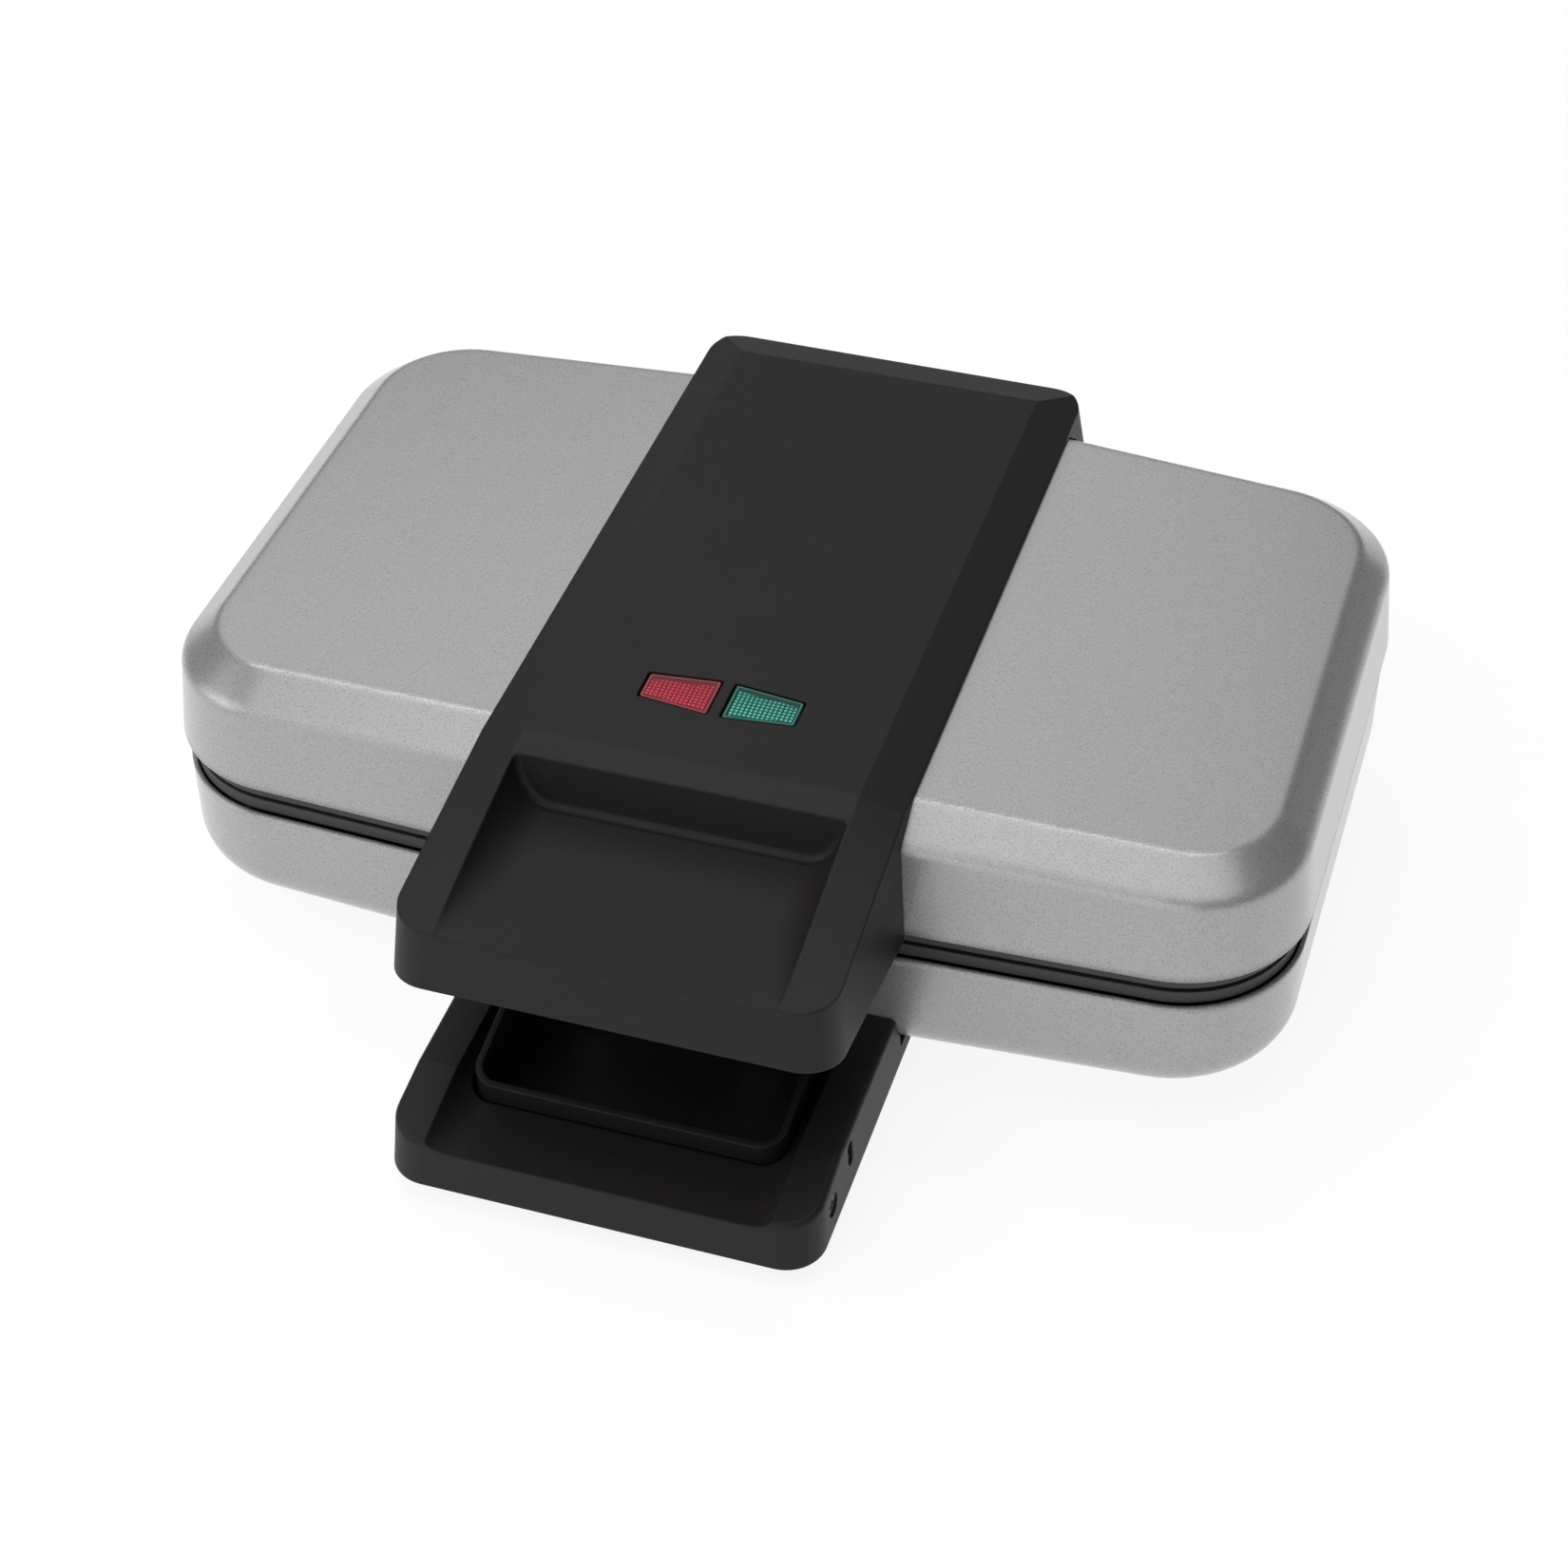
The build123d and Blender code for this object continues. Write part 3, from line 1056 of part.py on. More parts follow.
def make_plate_screws():
    """Four screws through the roof into the upper plate's posts, under the band."""
    screws = []
    for x in (-POST_X, POST_X):
        for y in (POST_FRONT_Y, POST_BACK_Y):
            screws.append(screw(x, y, ROOF_Z + SCREW_HEAD_H, INNER_ROOF_Z - SCREW_BITE))
    return solids(*screws)


def make_hinge_pins():
    """Two steel pins through ears and knuckles."""
    x0 = EAR_IN - HINGE_SIDE_GAP - KNUCKLE_WIDTH + 0.3
    one = shaft(x0, EAR_IN + EAR_WIDTH - 1.8, HINGE_Y, HINGE_Z, HINGE_PIN_R)
    return solids(one, mirrored(one))


def make_gland():
    """Bush where the supply cord enters the rear housing."""
    y0 = BASE_BACK - BASE_WALL - 1.5
    y1 = BASE_BACK + 1.8
    body = Pos(0, (y0 + y1) / 2, GLAND_Z) * Rot(90, 0, 0) * Cylinder(GLAND_R, y1 - y0)
    body += Pos(0, BASE_BACK + 0.9, GLAND_Z) * Rot(90, 0, 0) * Cylinder(GLAND_R + 1.8, 1.8)
    body += Pos(0, y0 - 0.5, GLAND_Z) * Rot(90, 0, 0) * Cylinder(GLAND_R + 1.0, 1.4)
    return body - Pos(0, BASE_BACK, GLAND_Z) * Rot(90, 0, 0) * Cylinder(GLAND_BORE_R, 5 * GLAND_R)


def make_terminals():
    """Ceramic terminal block on the floor of the rear housing."""
    length, depth, height = TERMINAL_SIZE
    x = -REAR_INSIDE_HALF / 2
    z0 = SPINE_TOP - 0.5
    y0 = BASE_BACK - BASE_WALL - depth - FIT
    body = block(x - length / 2, x + length / 2, y0, y0 + depth, z0, z0 + height)
    for i in range(3):
        cx = x + (i - 1) * length / 3
        body -= rod(cx, y0 + depth / 2, z0 + height - 4, z0 + height + 1, 2.0)
    return body


# ---- write every piece ----------------------------------------------------------------------
PIECES = {
    "lower_shell": make_lower_shell,
    "base": make_base,
    "lower_plate": lambda: make_plate(False),
    "lower_heater": lambda: make_heater(False),
    "lower_reflector": lambda: make_reflector(False),
    "thermostat": make_thermostat,
    "terminal_block": make_terminals,
    "cord_gland": make_gland,
    "feet": make_feet,
    "base_screws": make_base_screws,
    "hinge_pins": make_hinge_pins,
    "latch_screws": make_latch_screws,
    "latch": make_latch,
    "latch_hooks": make_latch_hooks,
    "hook_rivets": make_hook_rivets,
    "handle_bottom": make_handle_bottom,
    "upper_shell": make_upper_shell,
    "top_band": make_top_band,
    "handle_cover": make_handle_cover,
    "cover_screws": make_cover_screws,
    "catch_plate": make_catch_plate,
    "catch_screws": make_catch_screws,
    "band_screws": make_band_screws,
    "lens_green": make_lens,
    "lens_red": lambda: mirrored(make_lens()),
    "indicator_lamps": make_lamps,
    "lamp_holder": make_lamp_holder,
    "upper_plate": lambda: make_plate(True),
    "upper_heater": lambda: make_heater(True),
    "upper_reflector": lambda: make_reflector(True),
    "upper_plate_screws": make_plate_screws,
    "thermal_fuse": make_fuse,
}

os.makedirs("parts", exist_ok=True)
for name, make in PIECES.items():
    piece = make()
    export_step(piece, f"parts/{name}.step")
    box = piece.bounding_box()
    print(f"{name:20s} {piece.volume:10.0f} mm3 {len(piece.solids()):3d} solids "
          f"x {box.min.X:7.1f}..{box.max.X:6.1f}  y {box.min.Y:7.1f}..{box.max.Y:6.1f}  "
          f"z {box.min.Z:6.1f}..{box.max.Z:5.1f}")
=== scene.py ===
# %% [markdown]
# # A sandwich maker, dressed
# The machine is already built as solids: two silver shells, a black band that runs from the hinge
# over the lid into the upper handle, cooking plates, a latch and everything inside. Blender's job is
# the finish. Most pieces keep their own form and get a material. Only the fields of small domes on
# the two lenses are worked out here with numpy, because they are too fine for the solids.

# %% Load the frame
import bpy
import numpy as np
from mathutils import Matrix, Vector


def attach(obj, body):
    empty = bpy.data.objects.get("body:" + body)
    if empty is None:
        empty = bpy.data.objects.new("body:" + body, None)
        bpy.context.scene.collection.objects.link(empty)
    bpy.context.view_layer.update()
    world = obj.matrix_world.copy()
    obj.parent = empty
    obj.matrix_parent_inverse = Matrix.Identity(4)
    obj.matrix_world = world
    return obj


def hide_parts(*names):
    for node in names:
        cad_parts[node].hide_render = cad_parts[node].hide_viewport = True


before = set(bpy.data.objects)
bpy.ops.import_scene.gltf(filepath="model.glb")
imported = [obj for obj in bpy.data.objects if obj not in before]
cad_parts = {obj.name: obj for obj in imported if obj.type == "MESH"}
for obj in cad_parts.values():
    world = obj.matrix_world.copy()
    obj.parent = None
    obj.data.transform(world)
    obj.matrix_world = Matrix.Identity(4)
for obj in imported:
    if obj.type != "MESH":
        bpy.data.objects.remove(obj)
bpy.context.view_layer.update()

MM = 0.001

# %% [markdown]
# ## Shader maths as plain arithmetic
# A material is a small network of nodes. Wiring every Math node by hand hides the idea, so a wire is
# wrapped in a class whose operators add the nodes: `grain * 0.2 + 0.5` or `across > edge` read as
# what they do. Only the operators that the finishes below need are here.

# %% Wires
class Wire:
    """The value that leaves a socket. Arithmetic on it adds Math nodes to its finish."""

    def __init__(self, finish, socket):
        self.finish = finish
        self.socket = socket

    def maths(self, operation, first, second=0.0):
        """The wire that leaves a new Math node. Some operations look at the first value only."""
        return self.finish.node("ShaderNodeMath", {"operation": operation}, {0: first, 1: second})

    def __add__(self, other):
        return self.maths("ADD", self, other)

    def __sub__(self, other):
        return self.maths("SUBTRACT", self, other)

    def __mul__(self, other):
        return self.maths("MULTIPLY", self, other)

    def __gt__(self, other):
        return self.maths("GREATER_THAN", self, other)

    def __lt__(self, other):
        return self.maths("LESS_THAN", self, other)

    def clip(self):
        """Kept between 0 and 1."""
        return self.finish.node("ShaderNodeClamp", {}, {"Value": self})

    def sibling(self, key):
        """Another output of the node that this wire leaves."""
        return Wire(self.finish, self.socket.node.outputs[key])


print("a wire knows:", ", ".join(name for name in vars(Wire) if callable(getattr(Wire, name))))

# %% [markdown]
# ## A finish is a material with one way to add nodes
# Every node comes from one method that takes its type, its settings and its inputs. The settings come
# first, because some of them change which sockets a node has. The helpers under it only give names to
# the nodes that this object needs again and again: noise, a colour mix, rounded edges and bump.

# %% Finishes
MIX_FIRST, MIX_SECOND, MIX_RESULT = 6, 7, 2    # a mix node repeats its socket names, so these are numbers
BEVEL_SAMPLES = 6


class Finish:
    """One material. `shader` is its Principled BSDF; `node` adds any other node."""

    def __init__(self, name):
        self.material = bpy.data.materials.new(name)
        self.material.use_nodes = True
        self.tree = self.material.node_tree
        self.shader = self.tree.nodes["Principled BSDF"]
        self.place = self.node("ShaderNodeTexCoord", {}, {}, "Object")

    def node(self, kind, settings, inputs, out=0):
        """Add a node, fill it, and return the wire that leaves its output `out`."""
        made = self.tree.nodes.new(kind)
        for key, value in settings.items():
            if key == "stops":
                self.fill_ramp(made.color_ramp, value)
            else:
                setattr(made, key, value)
        for key, value in inputs.items():
            self.feed(made.inputs[key], value)
        return Wire(self, made.outputs[out])

    def fill_ramp(self, ramp, stops):
        """Give a colour ramp its stops, each a place from 0 to 1 and a colour."""
        while len(ramp.elements) < len(stops):
            ramp.elements.new(0.5)
        for element, (place, colour) in zip(ramp.elements, stops):
            element.position = place
            element.color = (*colour, 1.0)

    def feed(self, socket, value):
        """Link a wire to a socket, or write a constant into it. A colour gets its alpha here."""
        if isinstance(value, Wire):
            self.tree.links.new(value.socket, socket)
        elif hasattr(value, "__len__") and len(value) == 3 and len(socket.default_value) == 4:
            socket.default_value = (*value, 1.0)
        else:
            socket.default_value = value

    def set(self, **inputs):
        """Fill the shader's own sockets, with _ for each space in their names."""
        for key, value in inputs.items():
            self.feed(self.shader.inputs[key.replace("_", " ")], value)
        return self

    def noise(self, size, detail=2.0, roughness=0.5):
        """Noise whose blobs are about `size` metres across."""
        return self.node("ShaderNodeTexNoise", {},
                         {"Vector": self.place, "Scale": 1.0 / size, "Detail": detail, "Roughness": roughness})

    def mix(self, factor, first, second):
        """From the first colour at 0 to the second at 1."""
        return self.node("ShaderNodeMix", {"data_type": "RGBA"},
                         {0: factor, MIX_FIRST: first, MIX_SECOND: second}, MIX_RESULT)

    def soften(self, radius):
        """Normals that lean round sharp edges as a small radius would."""
        return self.node("ShaderNodeBevel", {"samples": BEVEL_SAMPLES}, {"Radius": radius})

    def bump(self, height, distance, strength, normal):
        """Relief of `height` times `distance` metres on top of `normal`."""
        return self.node("ShaderNodeBump", {},
                         {"Height": height, "Distance": distance, "Strength": strength, "Normal": normal})


def dress(finish, *names):
    """Give a finish to CAD nodes."""
    for name in names:
        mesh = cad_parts[name].data
        mesh.materials.clear()
        mesh.materials.append(finish.material)
    print(finish.material.name, "on", ", ".join(names))


print("a finish knows:", ", ".join(name for name in vars(Finish) if callable(getattr(Finish, name))))

# %% [markdown]
# ## Silver lacquer
# The shells are painted: a clear binder full of fine aluminium flake. From close by the flakes make a
# soft salt-and-pepper grain, and the paint film itself has a faint orange-peel wave. Two noises do it:
# one half a millimetre across for the flakes, one much wider for the wave. The clear film on top is
# the shader's coat, and the pressed edges are rounded by a bevel node, so that a lamp draws a soft
# bright line along them.

# %% Silver lacquer
FLAKE_DARK, FLAKE_LIGHT = (0.345, 0.340, 0.345), (0.500, 0.493, 0.500)
silver = Finish("silver_lacquer")
flake = silver.noise(0.45 * MM, 3.0, 0.7)
wave = silver.noise(4 * MM)
tone = silver.node("ShaderNodeValToRGB", {"stops": [(0.30, FLAKE_DARK), (0.72, FLAKE_LIGHT)]}, {0: flake})
silver.set(Base_Color=tone, Metallic=0.55, Roughness=flake * 0.07 + 0.245,
           Coat_Weight=wave * 0.2 + 0.4, Coat_Roughness=0.16,
           Normal=silver.bump(flake * 0.35 + wave, 0.012 * MM, 0.6, silver.soften(3 * MM)))
dress(silver, "upper_shell", "lower_shell")

# %% [markdown]
# ## Black moulded plastic
# Band, handles and latch are black thermoplastic from a spark-eroded mould, which leaves an even, fine
# leathery grain that breaks up reflections. A moulded edge is never quite sharp, so a bevel node leans
# the normals there as a radius of 0.7 millimetres would, and lets the edges catch the light.

# %% Black plastic
black = Finish("black_moulded_plastic")
spark = black.noise(0.7 * MM, 3.0, 0.65)
cloud = black.noise(30 * MM)
shade = black.mix(spark, (0.0088, 0.0070, 0.0075), (0.0132, 0.0108, 0.0114))
black.set(Base_Color=shade, Roughness=spark * 0.15 + cloud * 0.06 + 0.42, Specular_IOR_Level=0.29,
          Normal=black.bump(spark, 0.06 * MM, 0.7, black.soften(0.7 * MM)))
dress(black, "base", "top_band", "handle_cover", "latch", "handle_bottom")

# %% [markdown]
# ## Non-stick coating
# The cast plates are sprayed with a dark coating that carries a little mica, so it is slightly brown
# and has a low metallic sheen. Its grain is a little finer than the plastic's, and it rounds the
# casting's edges by about half a millimetre.

# %% Cooking plates
coating = Finish("non_stick_coating")
mica = coating.noise(0.6 * MM, 2.0, 0.6)
coating.set(Base_Color=coating.mix(mica, (0.030, 0.029, 0.028), (0.060, 0.056, 0.052)), Metallic=0.2,
            Roughness=mica * 0.2 + 0.38,
            Normal=coating.bump(mica, 0.05 * MM, 0.6, coating.soften(0.5 * MM)))
dress(coating, "lower_plate", "upper_plate")

# %% [markdown]
# ## Small parts
# Screws, hooks, heaters and sheet parts are bright or blackened steel, the feet and the cord's bush
# are rubber, and what holds hot wires is white ceramic, which does for the small lamps inside as well.
# Seen from a hand's width away each of these is one material with a fine grain, so one function makes
# them all: a noise mixes two close shades and varies the roughness with them.

# %% Steel, rubber and ceramic
def fine_grained(name, grain, dark, light, smooth, spread, metallic=0.0):
    """Finish whose shade goes from dark to light, and roughness from smooth to smooth + spread."""
    made = Finish(name)
    speck = made.noise(grain)
    return made.set(Base_Color=made.mix(speck, dark, light), Metallic=metallic,
                    Roughness=speck * spread + smooth)


steel = fine_grained("bright_steel", 0.4 * MM, (0.36, 0.36, 0.36), (0.52, 0.52, 0.52),
                     smooth=0.25, spread=0.2, metallic=1.0)
rubber = fine_grained("soft_rubber", 0.5 * MM, (0.012, 0.012, 0.012), (0.022, 0.022, 0.022),
                      smooth=0.7, spread=0.1)
ceramic = fine_grained("white_ceramic", 0.8 * MM, (0.62, 0.60, 0.55), (0.74, 0.72, 0.67),
                       smooth=0.6, spread=0.1)
dark_screw = fine_grained("blackened_screw", 0.4 * MM, (0.02, 0.02, 0.02), (0.06, 0.06, 0.06),
                          smooth=0.35, spread=0.2, metallic=0.8)
dress(steel, "lower_heater", "upper_heater", "lower_reflector", "upper_reflector", "thermostat",
      "hinge_pins", "base_screws", "cover_screws", "band_screws", "catch_screws", "upper_plate_screws",
      "catch_plate", "latch_hooks", "hook_rivets")
dress(rubber, "feet", "cord_gland")
dress(ceramic, "terminal_block", "thermal_fuse", "lamp_holder", "indicator_lamps")
dress(dark_screw, "latch_screws")

# %% [markdown]
# ## Lens surfaces
# An indicator lens has a grid of small domes that spreads the lamp's light over the whole face, and a
# plain border where it meets its window. The domes are about a millimetre wide, too fine for the
# solids, so the lens is drawn here as a height field over its four-sided plan and takes the place of
# the plain block.

# %% A surface from three arrays
def grid_piece(name, x, y, z, smooth):
    """Object from three equal 2-D arrays: one quad for each cell, shaded smooth where `smooth` is true."""
    rows, columns = x.shape
    index = np.arange(rows * columns).reshape(rows, columns)
    quads = np.stack([index[:-1, :-1], index[1:, :-1], index[1:, 1:], index[:-1, 1:]], axis=-1)
    mesh = bpy.data.meshes.new(name)
    mesh.from_pydata(np.stack([x, y, z], axis=-1).reshape(-1, 3).tolist(), [], quads.reshape(-1, 4).tolist())
    mesh.polygons.foreach_set("use_smooth", np.asarray(smooth, dtype=bool).ravel())
    mesh.update()
    piece = bpy.data.objects.new(name, mesh)
    bpy.context.scene.collection.objects.link(piece)
    print(name, "has", len(mesh.polygons), "faces")
    return piece


print("grid_piece:", grid_piece.__doc__)

# %% The lens as a height field
LENS_X = (1.75 * MM, 17.65 * MM)      # its ends, measured outwards from the machine's middle
LENS_HALF = (5.68 * MM, 3.92 * MM)    # half its depth at those ends
LENS_MIDDLE = -28.4 * MM
LENS_FACE, LENS_FOOT = 79.3 * MM, 76.1 * MM
DOME_PITCH, DOME_RISE = 1.02 * MM, 0.24 * MM
BORDER, REAR_BORDER = 0.95 * MM, 1.75 * MM
CORNER = 0.8 * MM
LENS_GRID = (99, 75)                  # points along x and along y, six to ten for each dome
TINY = 1e-9                           # keeps a distance that is divided by away from zero


def dome_lens(name, side, node):
    """Lens block with a field of domes inside a plain border.

    height(x, y) = rise * sqrt(cos(pi a) cos(pi b)), with a and b the place within a cell, -1/2 to 1/2.
    Past a corner circle, a point at distance d from its centre is drawn in by CORNER / d.
    The two outer rings of the grid are the upright sides and the underside.
    """
    u, v = np.meshgrid(np.linspace(0, 1, LENS_GRID[0]), np.linspace(-1, 1, LENS_GRID[1]), indexing="ij")
    x = LENS_X[0] + (LENS_X[1] - LENS_X[0]) * u
    half = LENS_HALF[0] + (LENS_HALF[1] - LENS_HALF[0]) * u
    y = LENS_MIDDLE + v * half
    past_x = x - np.clip(x, LENS_X[0] + CORNER, LENS_X[1] - CORNER)
    past_y = (y - LENS_MIDDLE) - np.clip(y - LENS_MIDDLE, CORNER - half, half - CORNER)
    draw_in = 1 - np.minimum(1, CORNER / np.maximum(np.hypot(past_x, past_y), TINY))
    x, y = x - past_x * draw_in, y - past_y * draw_in
    a = ((x - LENS_X[0] - BORDER) / DOME_PITCH) % 1 - 0.5
    b = ((y - LENS_MIDDLE) / DOME_PITCH) % 1 - 0.5
    between_ends = (x > LENS_X[0] + BORDER) & (x < LENS_X[1] - BORDER)
    inside = between_ends & (v * half < half - REAR_BORDER) & (-v * half < half - BORDER)
    dome = DOME_RISE * np.sqrt(np.clip(np.cos(np.pi * a) * np.cos(np.pi * b), 0, 1))
    z = np.where(inside, LENS_FACE - DOME_RISE + dome, LENS_FACE)
    x, y = np.pad(x, 1, mode="edge"), np.pad(y, 1, mode="edge")
    z = np.pad(z, 1, constant_values=LENS_FOOT)
    x = np.pad(x, 1, constant_values=np.mean(LENS_X))
    y = np.pad(y, 1, constant_values=LENS_MIDDLE)
    z = np.pad(z, 1, constant_values=LENS_FOOT)
    smooth = np.zeros((x.shape[0] - 1, x.shape[1] - 1), dtype=bool)
    smooth[2:-2, 2:-2] = True
    if side < 0:
        x = -x[::-1]
        y, z = y[::-1], z[::-1]
    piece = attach(grid_piece(name, x, y, z, smooth), "lid")
    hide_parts(node)
    return piece


print("lens:", round((LENS_X[1] - LENS_X[0]) / MM, 2), "mm wide, domes", round(DOME_PITCH / MM, 2), "mm apart")

# %% [markdown]
# ## Tinted lens plastic
# The plastic is clear and coloured, and its colour deepens where it is thick. Real refraction in a
# block of three millimetres costs many samples and shows little, so the depth is painted instead:
# each dome is bright, the grooves are deep, and painted light makes the field lighter towards the
# front, where the lamp sits. A trace of emission is painted light too, for the light that comes back
# out of the plastic, and the border carries a painted highlight along its outer edge.

# %% Masks on the lens
def lens_mask(along, across, side, front, rear):
    """1 where a point is further than these distances from the lens's sides, front and rear."""
    taper = (LENS_HALF[1] - LENS_HALF[0]) / (LENS_X[1] - LENS_X[0])
    half = (along - LENS_X[0]) * taper + LENS_HALF[0]
    aside = across - LENS_MIDDLE
    beside = (along > LENS_X[0] + side) * (along < LENS_X[1] - side)
    return beside * (half - rear > aside) * (half - front > aside * -1.0)


def ripple(along, start):
    """0 to 1 and back for each dome, highest at its middle: (1 - cos(angle)) / 2."""
    angle = (along - start) * (2 * np.pi / DOME_PITCH)
    return angle.maths("COSINE", angle) * -0.5 + 0.5


print("lens_mask:", lens_mask.__doc__)
print("ripple:", ripple.__doc__)

# %% Red and green
# painted highlight: the paler band in the border stands for light caught at the lens's edge
HIGHLIGHT_OUTER, HIGHLIGHT_SIDE, HIGHLIGHT_ENDS = 0.25 * MM, 0.55 * MM, 0.5 * MM    # a paler line in the border
# painted light: how bright the domes are at the rear, and how much brighter they get towards the front
PAINTED_GLOW_AT_REAR, PAINTED_GLOW_GAIN = 0.45, 0.7


def tinted_plastic(name, deep, bright, rim, highlight_line):
    """Groove, dome, border and painted highlight colours laid out by the domes' own grid.

    `near` runs from 0 at the lens's rear to 1 at its front, and brightens the domes with it as painted light.
    """
    made = Finish(name)
    first = made.node("ShaderNodeSeparateXYZ", {}, {0: made.place})
    along = first.maths("ABSOLUTE", first)
    across = first.sibling(1)
    near = ((across - LENS_MIDDLE) * (-0.5 / LENS_HALF[0]) + 0.5).clip()
    # painted light: the domes get brighter towards the front of the lens
    painted_glow = near * PAINTED_GLOW_GAIN + PAINTED_GLOW_AT_REAR
    cell = ripple(along, LENS_X[0] + BORDER) * ripple(across, LENS_MIDDLE) * painted_glow
    field = lens_mask(along, across, BORDER, BORDER, REAR_BORDER)
    # painted highlight: a paler band just inside the lens's outer edge
    ring = (lens_mask(along, across, HIGHLIGHT_OUTER, HIGHLIGHT_OUTER, HIGHLIGHT_OUTER)
            - lens_mask(along, across, HIGHLIGHT_SIDE, HIGHLIGHT_ENDS, HIGHLIGHT_ENDS))
    colour = made.mix(field, made.mix(ring, rim, highlight_line), made.mix(cell, deep, bright))
    haze = made.noise(5 * MM, 1.0)
    # painted light: a little emission in the lens's own colour
    return made.set(Base_Color=colour, Roughness=haze * 0.1 + 0.18, Specular_IOR_Level=0.22,
                    Emission_Color=colour, Emission_Strength=0.16)


# the last colour of each lens is its painted highlight
red = tinted_plastic("red_lens_plastic", (0.200, 0.010, 0.022), (0.86, 0.075, 0.110),
                     (0.120, 0.010, 0.016), (0.300, 0.070, 0.085))
green = tinted_plastic("green_lens_plastic", (0.002, 0.065, 0.048), (0.16, 0.82, 0.64),
                       (0.002, 0.040, 0.032), (0.040, 0.200, 0.160))
for finish, side, node, place in ((green, 1, "lens_green", "green_lens"), (red, -1, "lens_red", "red_lens")):
    lens = dome_lens(node + "_domes", side, node)
    lens.data.materials.append(finish.material)
    print(lens.name, "takes the place of", node)

# %% [markdown]
# ## Floor and backdrop
# The machine stands on a white sweep: a level square, and far out around it a low ring that keeps the
# horizon white in low views. White paper that is lit by the lamps alone would be grey, so a camera
# ray, or one that comes by a reflection, sees mostly an even white. What is left of the paper's own
# shading keeps the machine's shadow, and the light on the machine stays as it is.

# %% Floor and backdrop
FLOOR_HALF = 6.0
RING_RADIUS, RING_HEIGHT, RING_SIDES = 5.9, 0.8, 96
WHITE_SHARE, WHITE_STRENGTH = 0.8, 1.1    # how much of what is seen is even white, and how bright


def floor_piece():
    """A level square, centred under the machine."""
    x, y = np.meshgrid([-FLOOR_HALF, FLOOR_HALF], [-FLOOR_HALF, FLOOR_HALF], indexing="ij")
    return grid_piece("floor", x, y, np.zeros_like(x), [[False]])


def backdrop_piece():
    """A low upright ring: (radius cos t, radius sin t, height s), t once round and s from 0 to 1."""
    t, s = np.meshgrid(np.linspace(0, 2 * np.pi, RING_SIDES + 1), np.linspace(0, 1, 3), indexing="ij")
    piece = grid_piece("backdrop", RING_RADIUS * np.cos(t), RING_RADIUS * np.sin(t), RING_HEIGHT * s,
                       np.ones((RING_SIDES, 2)))
    piece.data.flip_normals()
    return piece


paper = Finish("white_paper")
fibre = paper.noise(4 * MM)
paper.set(Base_Color=paper.mix(fibre, (0.80, 0.80, 0.80), (0.82, 0.82, 0.82)), Roughness=0.9)
white = paper.node("ShaderNodeEmission", {}, {"Color": (1.0, 1.0, 1.0), "Strength": WHITE_STRENGTH})
camera_ray = paper.node("ShaderNodeLightPath", {}, {}, "Is Camera Ray")
watched = (camera_ray + camera_ray.sibling("Is Glossy Ray")).clip()
shaded = Wire(paper, paper.shader.outputs[0])
seen = paper.node("ShaderNodeMixShader", {}, {0: watched * WHITE_SHARE, 1: shaded, 2: white})
paper.tree.links.new(seen.socket, paper.tree.nodes["Material Output"].inputs[0])
for piece in (floor_piece(), backdrop_piece()):
    piece.data.materials.append(paper.material)

# %% [markdown]
# ## Lamps
# Each of the machine's planes mirrors its own patch of the room: the roof looks back, the front slope
# up, the walls forward and down. So there is a soft box for each, large enough for a long, gentle
# gradient on the lacquer. Two narrower lamps sit where the rounded edges between those planes look,
# and draw the bright lines along them. A faint even light from the room fills what no lamp reaches.

# %% Lamps
LAMP_AIM = (0.0, 0.0, 0.05)
LAMPS = {  # place, aim, width and height, power in watts
    "top_box": ((0.0, -0.22, 1.60), LAMP_AIM, (2.0, 0.9), 6.9),
    "edge_strip": ((-0.35, 0.50, 1.50), (-0.35, 0.0, 0.05), (1.5, 0.08), 4.8),
    "brow_box": ((-0.52, -0.95, 1.42), (-0.52, 0.0, 0.05), (0.9, 0.30), 2.6),
    "back_box": ((-0.50, 1.08, 1.20), LAMP_AIM, (1.4, 0.9), 3.3),
    "left_box": ((-1.30, -0.50, 0.90), LAMP_AIM, (1.0, 0.8), 6.0),
    "front_box": ((-0.05, -1.50, 0.62), LAMP_AIM, (1.8, 0.5), 6.4),
}


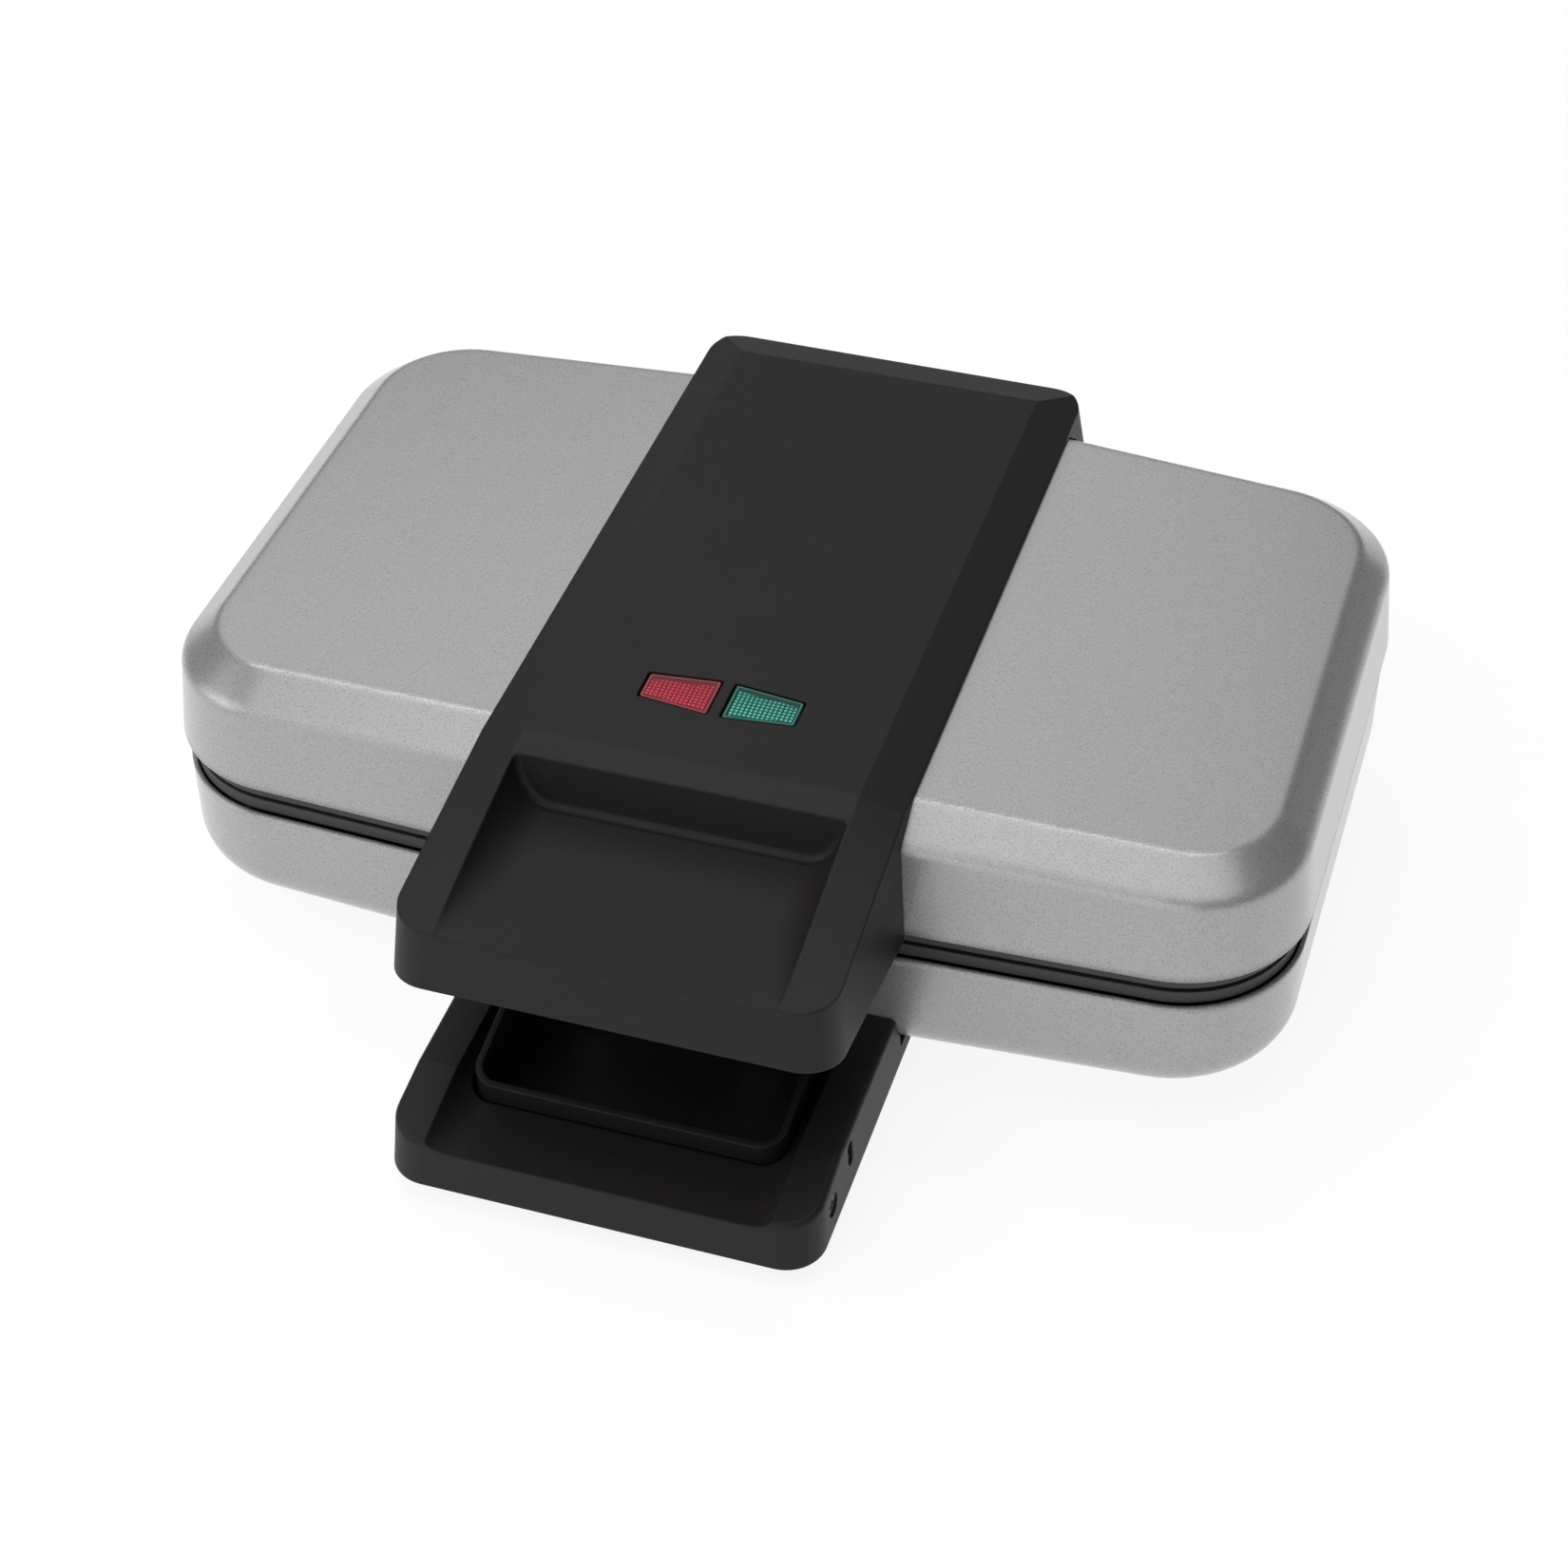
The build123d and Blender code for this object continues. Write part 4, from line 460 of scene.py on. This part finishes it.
def soft_box(name, place, aim, size, power):
    """A rectangular lamp at `place` that faces `aim`."""
    light = bpy.data.lights.new(name, "AREA")
    light.shape = "RECTANGLE"
    light.size, light.size_y = size
    light.energy = power
    lamp = bpy.data.objects.new(name, light)
    bpy.context.scene.collection.objects.link(lamp)
    lamp.location = place
    lamp.rotation_euler = (Vector(aim) - Vector(place)).to_track_quat("-Z", "Y").to_euler()
    print(name, "at", place, "with", power, "W")


for name, lamp in LAMPS.items():
    soft_box(name, *lamp)

# %% The room's own light
ROOM_LEVEL = 0.135
world = bpy.data.worlds.new("room")
bpy.context.scene.world = world
world.use_nodes = True
room = world.node_tree.nodes["Background"].inputs
room["Color"].default_value = (1.0, 1.0, 1.0, 1.0)
room["Strength"].default_value = ROOM_LEVEL
print("room level:", ROOM_LEVEL)

# %% [markdown]
# ## Camera
# The camera looks down at 41 degrees from the front right with a longish lens, so that the far end of
# the machine is only a little smaller than the near end. Its three axes are worked out from the angles
# and written, with its given place, straight into its matrix.

# %% Camera
AZIMUTH, ELEVATION, ROLL = np.radians([17.8818, 41.2388, -0.5075])
CAMERA_PLACE = (0.17706, -0.53357, 0.52384)
SENSOR_WIDTH, FRAME_PIXELS, FOCAL_PIXELS = 36, 1650, 3367.82    # the first in millimetres
back = np.array([np.sin(AZIMUTH) * np.cos(ELEVATION), -np.cos(AZIMUTH) * np.cos(ELEVATION), np.sin(ELEVATION)])
level = np.array([np.cos(AZIMUTH), np.sin(AZIMUTH), 0.0])
rise = np.cross(back, level)
turned = np.eye(4)
turned[:3, 0] = np.cos(ROLL) * level + np.sin(ROLL) * rise
turned[:3, 1] = np.cos(ROLL) * rise - np.sin(ROLL) * level
turned[:3, 2] = back
turned[:3, 3] = CAMERA_PLACE
eye = bpy.data.cameras.new("camera")
eye.sensor_width = SENSOR_WIDTH
eye.lens = FOCAL_PIXELS / FRAME_PIXELS * SENSOR_WIDTH
camera = bpy.data.objects.new("camera", eye)
bpy.context.scene.collection.objects.link(camera)
camera.matrix_world = Matrix(turned.tolist())
bpy.context.scene.camera = camera
bpy.context.scene.view_settings.view_transform = "Standard"
print("focal length:", round(eye.lens, 2), "mm, at", CAMERA_PLACE)

# %% [markdown]
# ## Sizes
# The finish must not change how large the machine is.
